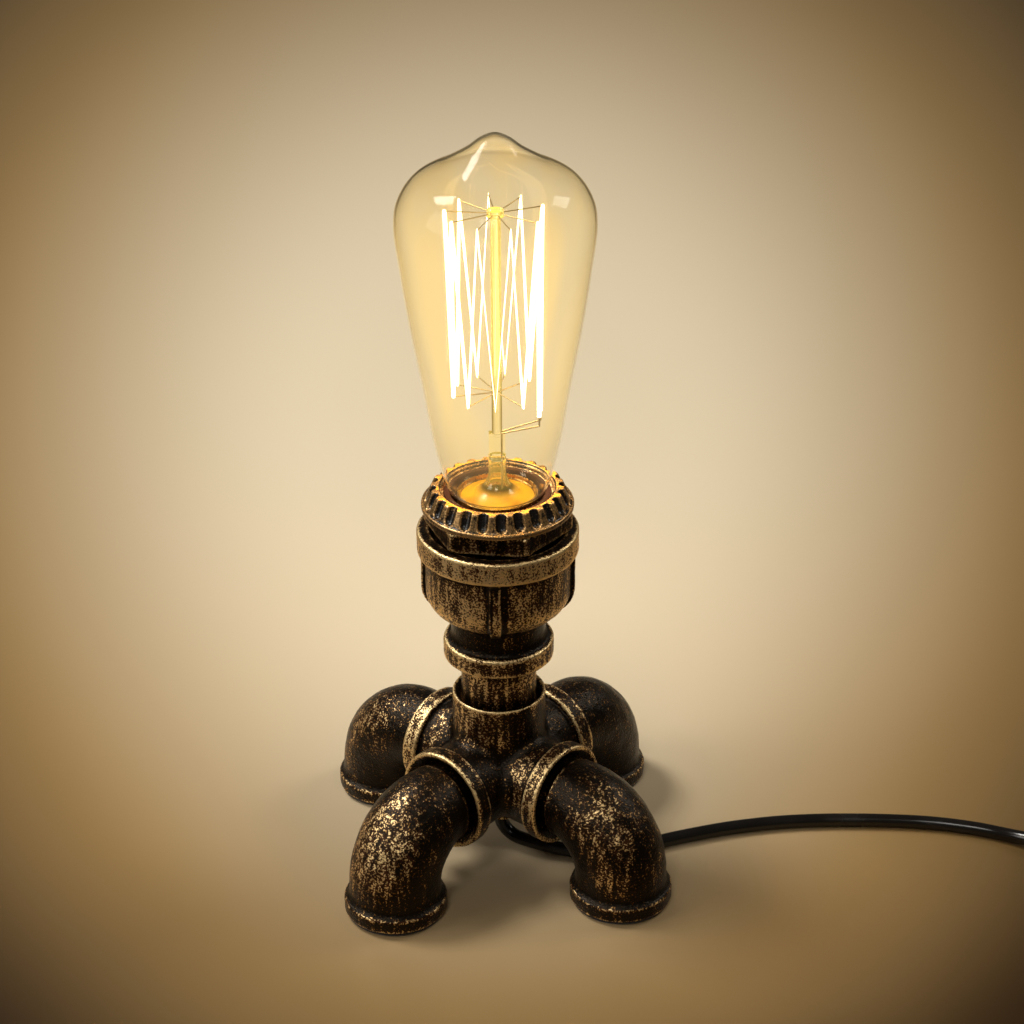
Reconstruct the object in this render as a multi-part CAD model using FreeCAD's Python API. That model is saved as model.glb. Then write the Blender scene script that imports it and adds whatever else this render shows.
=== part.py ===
import FreeCAD, Part

import math
import os

# Industrial pipe table lamp: four street elbows stand under a five-way cross, a riser nipple
# carries a bell reducer, and an E27 lampholder in the reducer holds a squirrel-cage filament bulb.
# Millimetres, +Z up. The origin is on the table under the lamp's upright axis. The four legs
# point along +X (front right), +Y (rear right), -X (rear left) and -Y (front left).

V = FreeCAD.Vector
UP = V(0, 0, 1)
ALONG_X = V(1, 0, 0)
ALONG_Y = V(0, 1, 0)

# ---- Driving dimensions: pipe and legs ----
PIPE_R = 12.8                  # outside of the riser pipe
PIPE_BORE_R = 9.6              # inside of the riser pipe and of every fitting's waterway
THREAD_FIT = 0.03              # radial gap between a male thread and its socket
THREAD_DEPTH = 11.0            # length of a male thread inside a socket
SOCKET_RELIEF = 1.0            # socket depth beyond the end of the male thread
CROSS_AXIS_Z = 31.0            # height of the four horizontal ports
LEG_REACH = 54.2               # lamp axis to the middle of a foot
LEG_NAMES = ("front_right", "rear_right", "rear_left", "front_left")

PAD_R = 16.6
PAD_THICKNESS = 1.4
PAD_EDGE = 0.5

ELBOW_BEND_R = 20.0            # centreline radius of the bend
ELBOW_BODY_R = 15.5            # full body of the elbow, towards the foot
ELBOW_THROAT_R = 13.9          # body where it starts, next to the cross
ELBOW_NECK_R = 13.2            # threaded male end
ELBOW_SWELL_ANGLE = 55.0       # turn of the bend over which the body grows to full size
ELBOW_SWELL_EARLY = 0.33       # growth ahead of an even taper, halfway through the swell
ELBOW_SHOULDER_GAP = 1.5       # from the port's face to the start of the body
FOOT_BAND_R = 17.35
FOOT_BAND_HEIGHT = 5.2
FOOT_SHOULDER = 1.4            # height of the slope from the band up to the body
FOOT_SOCKET_DEPTH = 8.0

# ---- Driving dimensions: cross ----
PORT_REACH = 30.2              # axis to the face of a horizontal port
BARREL_R = 15.6
TOP_BARREL_R = 15.9
TOP_PORT_HEIGHT = 30.9         # horizontal axis to the face of the top port
PORT_BAND_R = 17.65
PORT_BAND_LENGTH = 5.9
PORT_LIP = 1.0                 # flat rim left outside a port's countersink
PORT_COUNTERSINK = 2.6
CROSS_FILLET = 4.0             # between the barrels
BAND_EDGE = 0.5                # broken edges of all bands
BASE_BOSS_R = 10.0
BASE_BOSS_DROP = 17.0          # horizontal axis to the underside of the boss

# ---- Driving dimensions: riser and bell reducer ----
SMALL_BAND_R = 18.7
SMALL_BAND_Z = 76.4            # underside of the small band
SMALL_BAND_HEIGHT = 6.9
REDUCER_NECK_R = 16.0
NECK_SHOULDER = 1.6            # slope from the small band up to the neck
BOWL_R = 24.4
BOWL_ROUND = 9.0               # rounding of the underside of the bowl
BOWL_BOTTOM_Z = 93.5
LARGE_BAND_R = 27.0
LARGE_BAND_Z = 116.4
LARGE_BAND_HEIGHT = 8.2
REDUCER_BORE_R = 20.9
REDUCER_BORE_DEPTH = 15.0
BORE_STOP = 1.2                # step at the bottom of the threaded bore
BOWL_FLOOR = 2.5
REDUCER_LEAD_IN = 1.0          # chamfer at the mouth of the lower socket
MOUTH_CHAMFER = 2.2
RIB_COUNT = 4
RIB_PROUD = 1.4
RIB_WIDTH = 3.8
RIB_ANGLE = -51.5              # direction of the first rib

# ---- Driving dimensions: lampholder ----
HEX_FLATS = 43.3
HEX_ANGLE = 2.3
HEX_CHAMFER = 1.2
HEX_CHAMFER_SLOPE = 0.6
HEX_SEAT_GAP = 0.6             # thread jams before the hexagon meets the reducer
HEX_HEIGHT = 7.0
COLLAR_R = 20.0
COLLAR_HEIGHT = 5.6
SPIGOT_LENGTH = 15.4           # threaded part of the housing, below the hexagon
HOLDER_CUP_DEPTH = 6.6         # narrower cup below the thread
HOLDER_CUP_R = 19.3
HOLDER_BORE_R = 17.7
HOLDER_FLOOR = 2.0
HOLDER_FLOOR_HOLE_R = 7.0
HOLDER_FIT = 0.05              # sleeve and insulator in the housing's bore
SLEEVE_WALL = 1.8
SLEEVE_PROUD = 0.1             # sleeve's rim above the collar
INSULATOR_HEIGHT = 5.2
SHELL_BORE_R = 13.75           # E27 female thread, mean radius
SHELL_WALL = 0.45
SHELL_HEIGHT = 21.0
SHELL_FLANGE_R = 15.6
SHELL_FOOT_BORE_R = 9.5
CONTACT_THICKNESS = 0.6
CONTACT_WIDTH = 6.0
CONTACT_REACH = 8.0
CONTACT_RISE = 0.9             # spring end of the tongue above its foot
TERMINAL_AT = 4.2              # lamp axis to the middle of a terminal
TERMINAL_LENGTH = 3.6
TERMINAL_WIDTH = 4.4
TERMINAL_HEIGHT = 6.4
TERMINAL_SEAT = 1.2            # recess of a terminal in the insulator
TERMINAL_SCREW_RISE = 1.6      # screw above the terminal's lower face
TERMINAL_SCREW_PROUD = 1.4
TERMINAL_SCREW_R = 1.1
SCREW_R = 1.5
SCREW_HEAD_R = 2.7
SCREW_HEAD_HEIGHT = 1.6
SCREW_AT = 10.2                # lamp axis to a screw that holds the insulator
SCREW_FIT = 0.05
SCREW_COVER = 1.2              # insulator left above a screw's hole
SCREW_TIP_GAP = 0.3

# ---- Driving dimensions: shade ring ----
RING_FLANGE_R = 25.3
RING_FLANGE_THICKNESS = 1.8
RING_FLANGE_EDGE = 0.3
RING_FLANGE_GAP = 0.3          # above the hexagon
RING_FOOT_R = 24.3             # foot of the fluted cone
RING_TOP_R = 21.7
RING_HEIGHT = 7.3
RING_STEP_R = 19.3
RING_STEP_DEPTH = 0.7
RING_MOUTH_R = 18.5
RING_THREAD_FIT = 0.05
RING_LIP_THICKNESS = 1.6
FLUTE_COUNT = 24
FLUTE_ANGLE = -1.3             # direction of the first flute
FLUTE_R = 1.9
FLUTE_DEPTH = 1.35
FLUTE_FOOT_SHARE = 0.37        # plain part of the cone below a flute
FLUTE_RUN_OUT = 1.2            # a flute's length past the top, as a share of the cone's

# ---- Driving dimensions: bulb ----
BULB_R = 32.0
BULB_GLASS_WALL = 0.7
BULB_CAP_R = 13.2
BULB_CAP_HEIGHT = 19.25
BULB_CAP_WALL = 0.35
BULB_CAP_TAPER = 1.2
BULB_CAP_RIM_R = 13.6
BULB_CAP_RIM_HEIGHT = 1.75
CAP_INSULATOR_HEIGHT = 3.4
CAP_INSULATOR_TIP_R = 6.4
CAP_CONTACT_R = 4.8
CAP_CONTACT_HEIGHT = 1.3
CONTACT_GAP = 0.1              # eyelet above the lampholder's tongue
GLASS_HEIGHT = 125.0           # from the lower edge of the glass to the tip of the bulb
GLASS_FIT = 0.15               # glass inside the cap's rim
GLASS_RIM_GAP = 0.3            # flare of the glass above the cap's rim
GLASS_NECK_R = 17.2            # where the flare above the cap turns into the long side
GLASS_NECK_HEIGHT = 5.6        # this and the next height are from the lower edge of the glass
GLASS_BELLY_HEIGHT = 95.2      # where the glass is widest
GLASS_SIDE_LEAN = 14.6         # slope of the long side off the upright, at the neck
GLASS_SIDE_PULL = 29.0         # length over which the side keeps that slope
GLASS_BELLY_PULL_DOWN = 14.0   # below and above the belly, how far it stays upright
GLASS_BELLY_PULL_UP = 17.5
GLASS_NOSE_R = 10.45           # where the hollow of the shoulder turns into the round nose
GLASS_NOSE_HEIGHT = 6.46       # that place below the tip
GLASS_NOSE_SLOPE = 42.7
GLASS_NOSE_PULL_OUT = 7.24
GLASS_NOSE_PULL_IN = 2.0
GLASS_TIP_PULL = 3.8           # half-width of the flat of the tip
STEM_FLARE_R = 12.2
STEM_FLARE_HEIGHT = 9.0
STEM_WAIST_HEIGHT = 2.5        # how low the flare's hollow reaches, above its foot
STEM_TUBE_R = 2.9
STEM_WALL = 0.6
STEM_HEIGHT = 23.0             # from the lower edge of the glass to the top of the pinch
STEM_PINCH_R = 2.7
STEM_PINCH_HEIGHT = 9.0
STEM_PINCH_ANGLE = 41.0
STEM_ROD_R = 1.7
STEM_ROD_LENGTH = 77.0
STEM_BUTTON_R = 2.7
STEM_BUTTON_HEIGHT = 2.2
FILAMENT_R = 0.35
FILAMENT_TOP_R = 16.0          # radius of the cage at its upper hooks
FILAMENT_BOTTOM_R = 14.2
FILAMENT_HEIGHT = 61.5
FILAMENT_TAIL = 7.0            # how far the two ends hang below the lower hooks
FILAMENT_HAIRPINS = 9
FILAMENT_GAP = 0.5             # share of a pitch left open between the two ends
FILAMENT_START = 44.0          # direction of the first strand
HOOK_R = 0.2
LEAD_R = 0.3
LEAD_HEEL = 3.0                # drop from the filament's end to the bend of its wire
LEAD_AT = 1.5                  # along the pinch, from the bulb's axis to both wires
LEAD_SPREAD = 0.8              # across the pinch, from its middle to a wire
LEAD_CROSS_DROP = 3.0          # below the glass, where the outer wire turns to the cap
LEAD_IN_CAP = 0.1              # solder depth of that wire in the cap

# ---- Driving dimensions: mains cord ----
CORD_R = 2.4
CORE_R = 0.95
CORD_FIT = 0.05
GRIP_R = 4.9
GRIP_FLANGE_R = 6.4
GRIP_FLANGE_THICKNESS = 1.6
GRIP_NOSE_LENGTH = 2.0
GRIP_NOSE_R = 3.6
GRIP_NUT_FLATS = 14.0
GRIP_NUT_THICKNESS = 3.0
GRIP_NUT_CHAMFER = 0.6
GRIP_TUBE_ABOVE_NUT = 1.5
GRIP_NUT_CLEARANCE = 0.4       # round the nut's corners
GRIP_SPOT_FACE = 0.6           # depth of the nut's flat seat below the waterways
RELIEF_LENGTH = 20.0
RELIEF_TIP_R = 3.1
RELIEF_ROOT_R = 4.6
RELIEF_RINGS = 5
RELIEF_GROOVE = 0.7
RELIEF_NECK_R = 3.4
RELIEF_FLANGE_R = 4.4
RELIEF_FLANGE = 1.8
ARC_SHARE = 0.45               # part of the shorter run that an arc of the cord takes up
SHEATH_END_Z = 31.0
CORE_SPREAD = 1.1              # cord's axis to a core's where they leave the sheath
CORE_STEP = 6.0                # height of each step of a core below its terminal

# ---- Driving dimensions: in-line switch ----
SWITCH_AT = V(203.3, 105.6, 0.0)
SWITCH_TURN = -10.0            # direction of the cord through the switch
SWITCH_LENGTH = 48.0
SWITCH_WIDTH = 27.0            # at the middle
SWITCH_END_WIDTH = 21.0
SWITCH_CORNER_R = 5.0
SWITCH_SPLIT_Z = 6.5           # joint between the two shells, and the cord's height in them
SWITCH_HEIGHT = 16.6
SWITCH_WALL = 1.8
SWITCH_EDGE = 1.6
ROCKER_R = 9.9                 # pivot to the rounded ends of the rocker
ROCKER_WIDTH = 10.0
ROCKER_GAP = 0.35
ROCKER_PIVOT_DROP = 3.2        # pivot below the top of the shell
ROCKER_PROUD = 2.2             # ends of the level rocker above the shell
ROCKER_DISH = 2.6              # middle of the rocker below its ends
ROCKER_SKIRT = 2.4             # underside of the rocker below the pivot
ROCKER_TILT = 8.0              # either side of level
ROCKER_PIN_R = 1.3
ROCKER_PIN_LENGTH = 1.6
ROCKER_PIN_FIT = 0.06
CHEEK_THICKNESS = 1.8
CHEEK_LENGTH = 9.0
CHEEK_DEPTH = 6.4
BLADE_LENGTH = 16.0
BLADE_WIDTH = 4.0
BLADE_THICKNESS = 0.5
POST_AT = 7.4                  # pivot to the middle of a fixed contact
POST_LENGTH = 2.4
POST_WIDTH = 4.0
POST_GAP = 0.2                 # fixed contact below the blade when pressed
BOSS_X = 17.0
BOSS_Y = 7.4
BOSS_R = 2.5
CASE_SCREW_R = 1.1
CASE_SCREW_HEAD_R = 1.9
CASE_SCREW_HEAD_HEIGHT = 1.3
CASE_SCREW_LENGTH = 11.0
CASE_SCREW_RECESS = 0.5
CASE_SCREW_HEAD_GAP = 0.2
LIVE_CORE_Y = 1.0
NEUTRAL_CORE_Y = -3.2

# ---- Driving dimensions: coil and plug ----
COIL_AT = V(261.7, 56.0, 0.0)
COIL_MEAN_R = 28.8
COIL_ACROSS = 5.14             # turns side by side, counted at their edges
COIL_LAYERS = 2
PLUG_AT = V(300.4, 34.0, 6.9)  # tip of the plug's strain relief
PLUG_TURN = -90.0
PLUG_LENGTH = 36.0
PLUG_WIDTH = 35.0
PLUG_NECK_WIDTH = 13.0
PLUG_SHOULDER = 16.0           # length over which the body widens
PLUG_THICKNESS = 13.7
PLUG_EDGE = 3.0
PIN_R = 2.0
PIN_LENGTH = 19.0
PIN_SPACING = 18.6
PIN_CORE_R = 1.5
PIN_SLEEVE_LENGTH = 10.0
PIN_ROOT = 8.0                 # length of a pin inside the plug
PIN_FIT = 0.03
PIN_EDGE = 0.6

# Routes of the parts of the cord that aren't coiled, each point chosen on the table.
LAMP_TO_SWITCH = (
    (0.0, 0.0, 12.5), (0.0, 0.0, 8.3), (2.1, 0.5, 4.5), (5.8, 1.3, 2.4),
    (12.8, 2.7, 2.4), (24.0, 5.6, 2.4), (35.4, 13.2, 2.4), (43.6, 25.6, 2.4),
    (51.6, 40.2, 2.4), (62.0, 56.4, 2.4), (75.5, 72.4, 2.4), (92.6, 87.6, 2.4),
    (110.8, 101.4, 2.4), (126.5, 109.8, 2.4), (138.5, 113.9, 2.4), (149.5, 114.9, 4.4),
    (160.0, 113.2, 6.5),
)
SWITCH_TO_COIL = ((246.7, 97.9, 6.5), (253.9, 96.6, 5.2), (261.0, 95.3, 3.2), (268.4, 94.1, 2.4))
COIL_TO_PLUG = ((300.4, 56.0, 7.2), (300.9, 45.0, 7.2), (300.4, 34.0, 6.9))

# ---- Places that follow from the dimensions ----
CROSS_TOP_Z = CROSS_AXIS_Z + TOP_PORT_HEIGHT
LARGE_BAND_TOP_Z = LARGE_BAND_Z + LARGE_BAND_HEIGHT
HEX_Z = LARGE_BAND_TOP_Z + HEX_SEAT_GAP
HEX_TOP_Z = HEX_Z + HEX_HEIGHT
COLLAR_TOP_Z = HEX_TOP_Z + COLLAR_HEIGHT
SPIGOT_BOTTOM_Z = HEX_Z - SPIGOT_LENGTH
HOLDER_BOTTOM_Z = SPIGOT_BOTTOM_Z - HOLDER_CUP_DEPTH
HOLDER_FLOOR_Z = HOLDER_BOTTOM_Z + HOLDER_FLOOR
INSULATOR_TOP_Z = HOLDER_FLOOR_Z + INSULATOR_HEIGHT
TONGUE_TOP_Z = INSULATOR_TOP_Z + CONTACT_RISE + CONTACT_THICKNESS
EYELET_Z = TONGUE_TOP_Z + CONTACT_GAP
CAP_INSULATOR_Z = EYELET_Z + CAP_CONTACT_HEIGHT
CAP_Z = CAP_INSULATOR_Z + CAP_INSULATOR_HEIGHT
CAP_TOP_Z = CAP_Z + BULB_CAP_HEIGHT + BULB_CAP_RIM_HEIGHT
GLASS_Z = CAP_TOP_Z - BULB_CAP_RIM_HEIGHT + BULB_CAP_WALL
SCREW_TIP_Z = INSULATOR_TOP_Z - SCREW_COVER
TERMINAL_Z = HOLDER_FLOOR_Z + TERMINAL_SEAT - TERMINAL_HEIGHT
TERMINAL_SCREW_Z = TERMINAL_Z + TERMINAL_SCREW_RISE
FILAMENT_TOP_Z = GLASS_Z + STEM_HEIGHT + STEM_ROD_LENGTH - STEM_BUTTON_HEIGHT / 2
FILAMENT_BOTTOM_Z = FILAMENT_TOP_Z - FILAMENT_HEIGHT
BOSS_Z = CROSS_AXIS_Z - BASE_BOSS_DROP
GRIP_SEAT_Z = CROSS_AXIS_Z - PIPE_BORE_R - GRIP_SPOT_FACE
ROCKER_PIVOT_Z = SWITCH_HEIGHT - ROCKER_PIVOT_DROP


def disc(radius, z0, z1, at=V(0, 0, 0)):
    """A round solid on the upright through `at`, from height z0 to z1."""
    return Part.makeCylinder(radius, z1 - z0, V(at.x, at.y, z0), UP)


def tube(outer, inner, z0, z1, at=V(0, 0, 0)):
    """A round tube on the upright through `at`."""
    return disc(outer, z0, z1, at).cut(disc(inner, z0 - 1, z1 + 1, at))


def line(a, b):
    """A straight edge in the XZ half-plane between two (radius, height) points."""
    return Part.makeLine(V(a[0], 0, a[1]), V(b[0], 0, b[1]))


def arc(a, middle, b):
    """A circular edge in the XZ half-plane through three (radius, height) points."""
    return Part.Arc(V(a[0], 0, a[1]), V(middle[0], 0, middle[1]), V(b[0], 0, b[1])).toShape()


def spin(edges, angle=360.0):
    """The solid swept by a closed outline in the XZ half-plane as it turns about the axis."""
    return Part.Face(Part.Wire(edges)).revolve(V(0, 0, 0), UP, angle)


def turned(points):
    """A solid of revolution with a straight-sided outline, given as (radius, height) points."""
    return spin([line(a, b) for a, b in zip(points, points[1:] + points[:1])])


def banded(radius, z0, z1):
    """A round band with broken edges."""
    return turned([
        (0, z0), (radius - BAND_EDGE, z0), (radius, z0 + BAND_EDGE),
        (radius, z1 - BAND_EDGE), (radius - BAND_EDGE, z1), (0, z1),
    ])


def around(shape, degrees, at=V(0, 0, 0)):
    """A copy of a shape turned about the upright through `at`."""
    copy = shape.copy()
    copy.rotate(at, UP, degrees)
    return copy


def rod(a, b, radius):
    """A round rod from point a to point b."""
    return Part.makeCylinder(radius, (b - a).Length, a, b - a)


def save(name, shape):
    shape.exportStep("parts/" + name + ".step")


# ---- Legs: pads and street elbows ----

def foot_pad():
    """A felt pad glued under a foot, with a broken lower edge."""
    return turned([
        (0, 0), (PAD_R - PAD_EDGE, 0), (PAD_R, PAD_EDGE), (PAD_R, PAD_THICKNESS), (0, PAD_THICKNESS),
    ]).translated(V(LEG_REACH, 0, 0))


def bend_ring(turn, radius):
    """The round section of the elbow where its bend has turned by `turn` degrees."""
    ring = Part.Wire(Part.makeCircle(radius, V(0, 0, 0), ALONG_X))
    ring.rotate(V(0, 0, -ELBOW_BEND_R), ALONG_Y, turn)
    ring.translate(V(LEG_REACH - ELBOW_BEND_R, 0, CROSS_AXIS_Z))
    return ring


def bend(radius, turn):
    """A round bar along the rest of the elbow's bend, from where it has turned by `turn` degrees."""
    pivot = V(LEG_REACH - ELBOW_BEND_R, 0, CROSS_AXIS_Z - ELBOW_BEND_R)
    return Part.Face(bend_ring(turn, radius)).revolve(pivot, ALONG_Y, 90 - turn)


def street_elbow():
    """The elbow along +X: male neck turned down for the cross, swelling bend, banded open foot."""
    bend_x = LEG_REACH - ELBOW_BEND_R
    foot_z = CROSS_AXIS_Z - ELBOW_BEND_R
    foot_at = V(LEG_REACH, 0, 0)
    neck_x = PORT_REACH - THREAD_DEPTH
    neck_at = V(neck_x, 0, CROSS_AXIS_Z)
    neck_length = THREAD_DEPTH + ELBOW_SHOULDER_GAP
    grown = (ELBOW_THROAT_R + ELBOW_BODY_R) / 2 + ELBOW_SWELL_EARLY
    body = Part.makeLoft([
        bend_ring(0, ELBOW_THROAT_R), bend_ring(ELBOW_SWELL_ANGLE / 2, grown),
        bend_ring(ELBOW_SWELL_ANGLE, ELBOW_BODY_R),
    ], True)
    body = body.fuse([
        bend(ELBOW_BODY_R, ELBOW_SWELL_ANGLE),
        Part.makeCylinder(ELBOW_THROAT_R, bend_x - neck_x, neck_at, ALONG_X),
    ])
    turned_down = Part.makeCylinder(ELBOW_BODY_R, neck_length, neck_at, ALONG_X)
    body = body.cut(turned_down.cut(Part.makeCylinder(ELBOW_NECK_R, neck_length, neck_at, ALONG_X)))
    band_top = PAD_THICKNESS + FOOT_BAND_HEIGHT
    foot = turned([
        (0, band_top - BAND_EDGE), (FOOT_BAND_R - BAND_EDGE, band_top - BAND_EDGE),
        (ELBOW_BODY_R, band_top + FOOT_SHOULDER), (0, band_top + FOOT_SHOULDER),
    ])
    foot = foot.fuse([
        disc(ELBOW_BODY_R, PAD_THICKNESS, foot_z), banded(FOOT_BAND_R, PAD_THICKNESS, band_top),
    ])
    body = body.fuse(foot.translated(foot_at)).removeSplitter()
    waterway = bend(PIPE_BORE_R, 0).fuse([
        Part.makeCylinder(PIPE_BORE_R, bend_x - neck_x + 1, neck_at - ALONG_X, ALONG_X),
        disc(PIPE_BORE_R, PAD_THICKNESS - 1, foot_z, foot_at),
        disc(ELBOW_NECK_R, PAD_THICKNESS - 1, PAD_THICKNESS + FOOT_SOCKET_DEPTH, foot_at),
    ])
    return body.cut(waterway)


# ---- Cross ----

def cross_fitting():
    """Five-way cross with banded side ports, a plain countersunk top port and a drilled base boss."""
    centre = V(0, 0, CROSS_AXIS_Z)
    hub = Part.makeCylinder(TOP_BARREL_R, TOP_PORT_HEIGHT, centre, UP)
    hub = hub.fuse(Part.makeCylinder(BASE_BOSS_R, BASE_BOSS_DROP, centre, V(0, 0, -1)))
    barrel = Part.makeCylinder(BARREL_R, PORT_REACH, centre, ALONG_X)
    for quarter in range(4):
        hub = hub.fuse(around(barrel, 90 * quarter))
    hub = hub.removeSplitter()
    seams = [
        edge for edge in hub.Edges
        if not isinstance(edge.Curve, (Part.Line, Part.Circle)) and edge.CenterOfMass.z > CROSS_AXIS_Z + 2
    ]
    hub = hub.makeFillet(CROSS_FILLET, seams)

    reach, inner = PORT_REACH, PORT_REACH - PORT_BAND_LENGTH
    socket_r = ELBOW_NECK_R + THREAD_FIT
    socket_end = PORT_REACH - THREAD_DEPTH - SOCKET_RELIEF
    mouth_r = PORT_BAND_R - PORT_LIP
    band = banded(PORT_BAND_R, inner, reach)
    bore = turned([
        (0, 0), (PIPE_BORE_R, 0), (PIPE_BORE_R, socket_end), (socket_r, socket_end),
        (socket_r, reach - PORT_COUNTERSINK), (mouth_r, reach), (mouth_r, reach + 1), (0, reach + 1),
    ])
    for shape in (band, bore):
        shape.rotate(V(0, 0, 0), ALONG_Y, 90)
        shape.translate(centre)
    for quarter in range(4):
        hub = hub.fuse(around(band, 90 * quarter))

    top_r = PIPE_R + THREAD_FIT
    top_mouth_r = TOP_BARREL_R - PORT_LIP / 2
    top_end = CROSS_TOP_Z - THREAD_DEPTH - SOCKET_RELIEF
    bores = turned([
        (0, CROSS_AXIS_Z), (PIPE_BORE_R, CROSS_AXIS_Z), (PIPE_BORE_R, top_end), (top_r, top_end),
        (top_r, CROSS_TOP_Z - PORT_COUNTERSINK), (top_mouth_r, CROSS_TOP_Z),
        (top_mouth_r, CROSS_TOP_Z + 1), (0, CROSS_TOP_Z + 1),
    ])
    bores = bores.fuse(disc(GRIP_R + THREAD_FIT, BOSS_Z - 1, CROSS_AXIS_Z))
    bores = bores.fuse(disc(GRIP_NUT_FLATS / math.sqrt(3) + GRIP_NUT_CLEARANCE, GRIP_SEAT_Z, CROSS_AXIS_Z))
    for quarter in range(4):
        bores = bores.fuse(around(bore, 90 * quarter))
    return hub.cut(bores)


# ---- Riser and reducer ----

def riser_nipple():
    """Short threaded pipe from the cross into the reducer."""
    return tube(PIPE_R, PIPE_BORE_R, CROSS_TOP_Z - THREAD_DEPTH, SMALL_BAND_Z + THREAD_DEPTH)


def bowl_outline(proud):
    """Right-hand edge of the bowl from its underside up to the large band, `proud` outside it."""
    centre = (BOWL_R - BOWL_ROUND, BOWL_BOTTOM_Z + BOWL_ROUND)
    radius = BOWL_ROUND + proud
    low = (centre[0], centre[1] - radius)
    middle = (centre[0] + radius * math.sin(math.pi / 4), centre[1] - radius * math.cos(math.pi / 4))
    side = (centre[0] + radius, centre[1])
    top = (centre[0] + radius, LARGE_BAND_Z + BAND_EDGE)
    return low, middle, side, top


def reducer_coupling():
    """Bell reducer: small band, necked throat, round bowl with four ribs, large band."""
    low, middle, side, top = bowl_outline(0.0)
    small_top = SMALL_BAND_Z + SMALL_BAND_HEIGHT
    bowl = spin([
        line((0, low[1]), low), arc(low, middle, side), line(side, top),
        line(top, (0, top[1])), line((0, top[1]), (0, low[1])),
    ])
    throat = turned([
        (0, small_top - BAND_EDGE), (SMALL_BAND_R - NECK_SHOULDER, small_top - BAND_EDGE),
        (REDUCER_NECK_R, small_top + NECK_SHOULDER), (REDUCER_NECK_R, BOWL_BOTTOM_Z + 1),
        (0, BOWL_BOTTOM_Z + 1),
    ])
    body = banded(SMALL_BAND_R, SMALL_BAND_Z, small_top).fuse([
        throat, bowl, banded(LARGE_BAND_R, LARGE_BAND_Z, LARGE_BAND_TOP_Z),
    ])
    rib_angle = math.degrees(RIB_WIDTH / BOWL_R)
    low, middle, side, top = bowl_outline(RIB_PROUD)
    inside = BOWL_R - RIB_PROUD
    heel = (low[0] + RIB_PROUD, low[1] + 2 * RIB_PROUD)
    rib = spin([
        line(heel, low), arc(low, middle, side), line(side, top),
        line(top, (inside, top[1])), line((inside, top[1]), heel),
    ], rib_angle)
    for number in range(RIB_COUNT):
        body = body.fuse(around(rib, RIB_ANGLE - rib_angle / 2 + number * 360 / RIB_COUNT))

    bore_end = LARGE_BAND_TOP_Z - REDUCER_BORE_DEPTH
    socket_end = SMALL_BAND_Z + THREAD_DEPTH + SOCKET_RELIEF
    socket_r = PIPE_R + THREAD_FIT
    cavity_r = REDUCER_BORE_R - BORE_STOP
    cavity = turned([
        (0, SMALL_BAND_Z - 1), (socket_r + REDUCER_LEAD_IN, SMALL_BAND_Z - 1),
        (socket_r + REDUCER_LEAD_IN, SMALL_BAND_Z), (socket_r, SMALL_BAND_Z + REDUCER_LEAD_IN),
        (socket_r, socket_end), (PIPE_BORE_R, socket_end), (PIPE_BORE_R, BOWL_BOTTOM_Z + BOWL_FLOOR),
        (cavity_r, BOWL_BOTTOM_Z + BOWL_ROUND), (cavity_r, bore_end),
        (REDUCER_BORE_R, bore_end), (REDUCER_BORE_R, LARGE_BAND_TOP_Z - MOUTH_CHAMFER),
        (REDUCER_BORE_R + MOUTH_CHAMFER, LARGE_BAND_TOP_Z),
        (REDUCER_BORE_R + MOUTH_CHAMFER, LARGE_BAND_TOP_Z + 1), (0, LARGE_BAND_TOP_Z + 1),
    ])
    return body.removeSplitter().cut(cavity)


# ---- Lampholder ----

def hexagon(flats, z0, z1, chamfer):
    """A hexagonal prism with its corners turned to a chamfer at the top and bottom."""
    corner = flats / math.sqrt(3)
    outline = Part.makePolygon([
        V(corner * math.cos(math.radians(60 * k + 30)), corner * math.sin(math.radians(60 * k + 30)), z0)
        for k in range(7)
    ])
    prism = Part.Face(outline).extrude(V(0, 0, z1 - z0))
    return prism.common(turned([
        (0, z0), (corner - chamfer, z0), (corner + 0.1, z0 + chamfer * HEX_CHAMFER_SLOPE),
        (corner + 0.1, z1 - chamfer * HEX_CHAMFER_SLOPE), (corner - chamfer, z1), (0, z1),
    ]))


def socket_housing():
    """Cast housing: spigot in the reducer, hexagon for the wrench, threaded collar for the shade ring."""
    body = disc(REDUCER_BORE_R - THREAD_FIT, SPIGOT_BOTTOM_Z, HEX_Z + 0.5)
    body = body.fuse(disc(HOLDER_CUP_R, HOLDER_BOTTOM_Z, SPIGOT_BOTTOM_Z + 0.5))
    body = body.fuse(around(hexagon(HEX_FLATS, HEX_Z, HEX_TOP_Z, HEX_CHAMFER), HEX_ANGLE))
    body = body.fuse(disc(COLLAR_R, HEX_TOP_Z - 0.5, COLLAR_TOP_Z))
    body = body.cut(disc(HOLDER_BORE_R, HOLDER_FLOOR_Z, COLLAR_TOP_Z + 1))
    body = body.cut(disc(HOLDER_FLOOR_HOLE_R, HOLDER_BOTTOM_Z - 1, HOLDER_FLOOR_Z + 1))
    for side in (-1, 1):
        hole_at = V(0, side * SCREW_AT, 0)
        body = body.cut(disc(SCREW_R + SCREW_FIT, HOLDER_BOTTOM_Z - 1, HOLDER_FLOOR_Z + 1, hole_at))
    return body


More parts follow.
